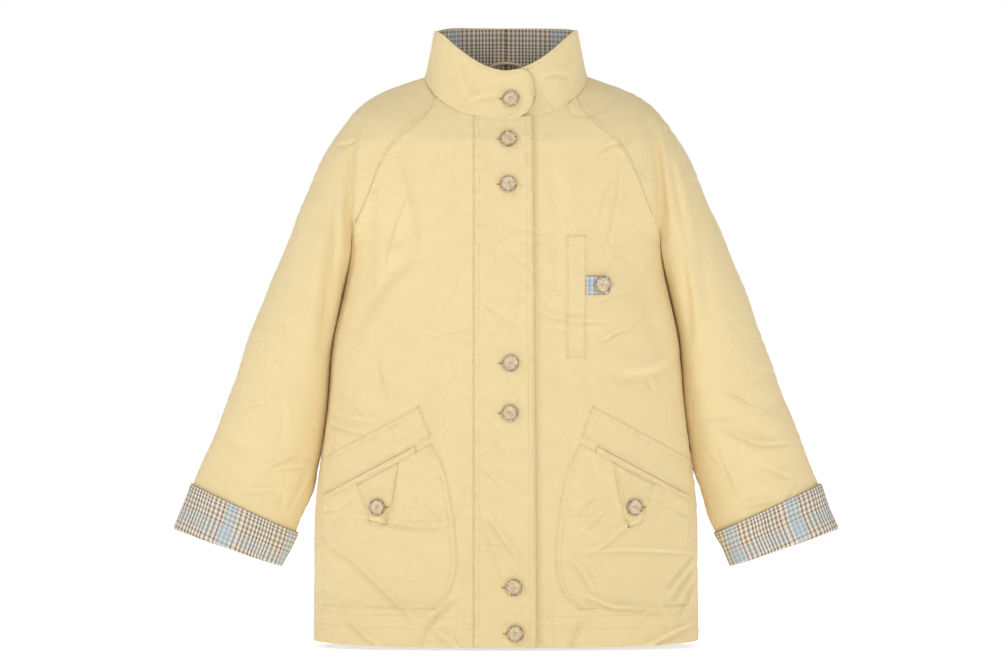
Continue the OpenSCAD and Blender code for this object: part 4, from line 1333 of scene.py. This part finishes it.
def button_mesh():
    """A four-hole button with a raised rim, its back on the plane z = 0."""
    profile = [(0.0, 0.0), (9.4, 0.0), (10.4, 0.35), (10.9, 1.1), (11.0, 2.0), (10.8, 2.8), (10.3, 3.25),
               (9.7, 3.4), (9.1, 3.3), (8.5, 2.95), (7.8, 2.6), (6.6, 2.42), (4.0, 2.3), (0.0, 2.25)]
    sides = 56
    points, faces = [(0, 0, 0)], []
    for radius, height in profile[1:-1]:
        points += [(radius * math.cos(math.tau * k / sides), radius * math.sin(math.tau * k / sides), height)
                   for k in range(sides)]
    points.append((0, 0, profile[-1][1]))
    rings = len(profile) - 2
    for k in range(sides):
        after = (k + 1) % sides
        faces.append([0, 1 + after, 1 + k])
        for ring in range(rings - 1):
            a, b = 1 + ring * sides, 1 + (ring + 1) * sides
            faces.append([a + k, a + after, b + after, b + k])
        top = 1 + (rings - 1) * sides
        faces.append([top + k, top + after, len(points) - 1])
    solid = join_object("button_blank", [(points, faces)], HORN)
    drills = []
    for quarter in range(4):
        way = math.radians(45 + 90 * quarter)
        x, y = 2.6 * math.cos(way), 2.6 * math.sin(way)
        drills.append(cord_part([(x, y, -1), (x, y, 1.5), (x, y, 4)], 1.0, 16))
    drill = join_object("button_drills", drills, HORN)
    cut = solid.modifiers.new("holes", "BOOLEAN")
    cut.operation = "DIFFERENCE"
    cut.solver = "EXACT"
    cut.object = drill
    graph = bpy.context.evaluated_depsgraph_get()
    made = bpy.data.meshes.new_from_object(solid.evaluated_get(graph))
    bpy.data.objects.remove(solid)
    bpy.data.objects.remove(drill)
    points = np.array([v.co for v in made.vertices]) / MM
    return points, [list(p.vertices) for p in made.polygons]


BUTTON = button_mesh()


def pose_part(part, place, out, spin):
    """Puts a part made on the plane z = 0 at a place, facing out."""
    out = Vector(out).normalized()
    turn = out.to_track_quat("Z", "Y").to_matrix() @ Matrix.Rotation(spin, 3, "Z")
    return np.asarray(part[0]) @ np.array(turn).T + np.asarray(place), part[1]


def thread_parts(place, out, spin, gap):
    """The cross of thread over the holes, and the shank under the button."""
    parts = []
    for quarter in (0, 1):
        for offset in (-0.35, 0.35):
            way = math.radians(45 + 90 * quarter)
            along_x, along_y = math.cos(way), math.sin(way)
            path = []
            for t in np.linspace(-1, 1, 9):
                reach = 2.6 * t
                height = 2.3 + 0.75 * (1 - t * t) ** 0.5 - (0.9 if abs(t) == 1 else 0)
                path.append((reach * along_x - offset * along_y, reach * along_y + offset * along_x, height))
            parts.append(pose_part(cord_part(path, 0.36, 6), place, out, spin))
    shank = cord_part([(0, 0, -gap - 0.6), (0, 0, -gap / 2), (0, 0, 0.6)], 1.5, 12)
    parts.append(pose_part(shank, place, out, spin))
    return parts


def button_hole(place, out, across, reach=12.0):
    """A stitched buttonhole: a ring of thread and a dark slit, whose dark colour is painted shade in the
    opening.
    """
    out, across = unit(np.array(out)), unit(np.array(across))
    up = np.cross(out, across)
    ring = []
    for turn in np.linspace(0, math.tau, 40, endpoint=False):
        ring.append(place + across * reach * math.copysign(abs(math.cos(turn)) ** 0.6, math.cos(turn))
                    + up * 1.35 * math.sin(turn) + out * 0.15)
    # The slit is a thin dark sheet: painted shade where the buttonhole opens.
    slit = [place + across * reach * 0.88 * math.cos(t) + up * 0.5 * math.sin(t) + out * 0.12
            for t in np.linspace(0, math.tau, 24, endpoint=False)]
    low = [p - out * 0.3 for p in slit]
    faces = [list(range(24)), list(range(47, 23, -1))]
    faces += [[k, k + 24, (k + 1) % 24 + 24, (k + 1) % 24] for k in range(24)]
    return cord_part(ring, 0.62, 6, True), (slit + low, faces)


def normal_at(x, z):
    side = RIGHT if x < 0 else LEFT
    return body_normal(np.array(side), np.array(float(z)), angle_at(x, z))


def across_at(x, z):
    return unit(front(x + 1.0, z) - front(x - 1.0, z))


def finish_set(name, group, parts, material, nodes):
    piece = join_object(name, parts, material)
    if material is HORN:
        reach = np.linalg.norm(BUTTON[0][:, :2], axis=1) / BUTTON_R
        reach = np.tile(reach, len(parts))
        piece.data.attributes.new("reach", "FLOAT", "POINT").data.foreach_set("value", reach)
    follow(piece, group)
    if nodes:
        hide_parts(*nodes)


# For each set: its body, the gap under a button, the body it closes on, and the nodes it stands for
BUTTON_SETS = {
    "front": ("front_left", 0.8, "front_right", ("front_buttons",), ("front_button_threads",)),
    "collar": ("front_left", 0.8, "front_right", ("collar_button",), ()),
    "pocket_right": ("shell", 0.6, "tab_right", ("pocket_buttons",), ("pocket_button_threads",)),
    "pocket_left": ("shell", 0.6, "tab_left", ("pocket_buttons",), ("pocket_button_threads",)),
    "chest": ("shell", 0.6, "tab_chest", ("chest_button",), ("chest_button_thread",)),
}


def make_buttons():
    places = {"front": [], "pocket_right": [], "pocket_left": [], "chest": [], "collar": []}
    for x, z in ((3, -96), (3, -157), (6, -386), (5, -450), (10, -673), (12, -732)):
        places["front"].append((front(x, z, 0.0, True), normal_at(x, z), across_at(x, z)))
    for side in (RIGHT, LEFT):
        x, z = side * TAB_MIDDLE, -571.0
        places[f"pocket_{NAME[side]}"].append((front(x, z, 2.8), normal_at(x, z), across_at(x, z)))
    places["chest"].append((front(123.0, -286.0, 2.9), normal_at(123, -286), across_at(123, -286)))
    grid, _ = collar_grid(RIGHT, 0.0, 1.0, 0.0, COLLAR_LAP)
    row = grid[15]
    at = row[np.argmin(np.abs(row[:, 0] - 6) + np.where(row[:, 1] < 0, 0, 1000))]
    places["collar"].append((at, np.array([0.03, -0.985, 0.17]), np.array([1.0, 0, 0])))
    rng = np.random.default_rng(5)
    for word, spots in places.items():
        group, gap, under, nodes, threads = BUTTON_SETS[word]
        discs, strands, rings, slits = [], [], [], []
        for at, out, across in spots:
            tilt = out + rng.normal(scale=0.035, size=3)
            spin = rng.uniform(0, math.pi)
            seat = at + unit(out) * gap
            discs.append(pose_part(BUTTON, seat, tilt, spin))
            strands += thread_parts(seat, tilt, spin, gap + 2)
            along_x = -across if word in ("front", "collar") else across
            ring, slit = button_hole(at + along_x * 5.0, out, across, 11.5 if word != "chest" else 9)
            rings.append(ring)
            slits.append(slit)
        finish_set(f"buttons_{word}", group, discs, HORN, nodes)
        finish_set(f"button_threads_{word}", group, strands, THREAD, threads)
        finish_set(f"buttonhole_rings_{word}", under, rings, THREAD, ())
        # The slit sheets carry painted shade for the buttonhole openings.
        finish_set(f"buttonhole_gap_shades_{word}", under, slits, SLIT_SHADE, ())


make_buttons()


def make_loop():
    half, rise, lean = 32.0, 15.0, math.radians(22)
    radius = (half * half + rise * rise) / (2 * rise)
    reach = math.asin(half / radius)
    path = []
    for turn in np.linspace(-reach, reach, 40):
        x, height = radius * math.sin(turn), rise - radius + radius * math.cos(turn)
        path.append((x, 62 - height * math.sin(lean), -rise / 2 + height * math.cos(lean)))
    piece = join_object("loop_piping", [cord_part(path, 2.0, 16)], PIPING)
    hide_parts("hanger_loop")
    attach(piece, "hanger_loop")
    u, v = np.linspace(0, 1, 24)[None, :], np.linspace(0, 1, 14)[:, None]
    x, s = 44 * (u - 0.5) + 0 * v, mix(-26.0, -3.0, v) + 0 * u
    grid = torso(np.where(x < 0, RIGHT, LEFT), s, -angle_at(x, s), LABEL_LEVEL)
    flip = away_from(grid, axis_of(grid))
    piece = sheet_object("label_cloth", grid, LABEL, 0.5, flip=flip)
    declare(("neck_label",))
    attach(piece, "shell")


make_loop()

tree = stitch_group()
for group, lines in STITCH_LINES.items():
    follow(make_stitches(group, lines, tree), group)
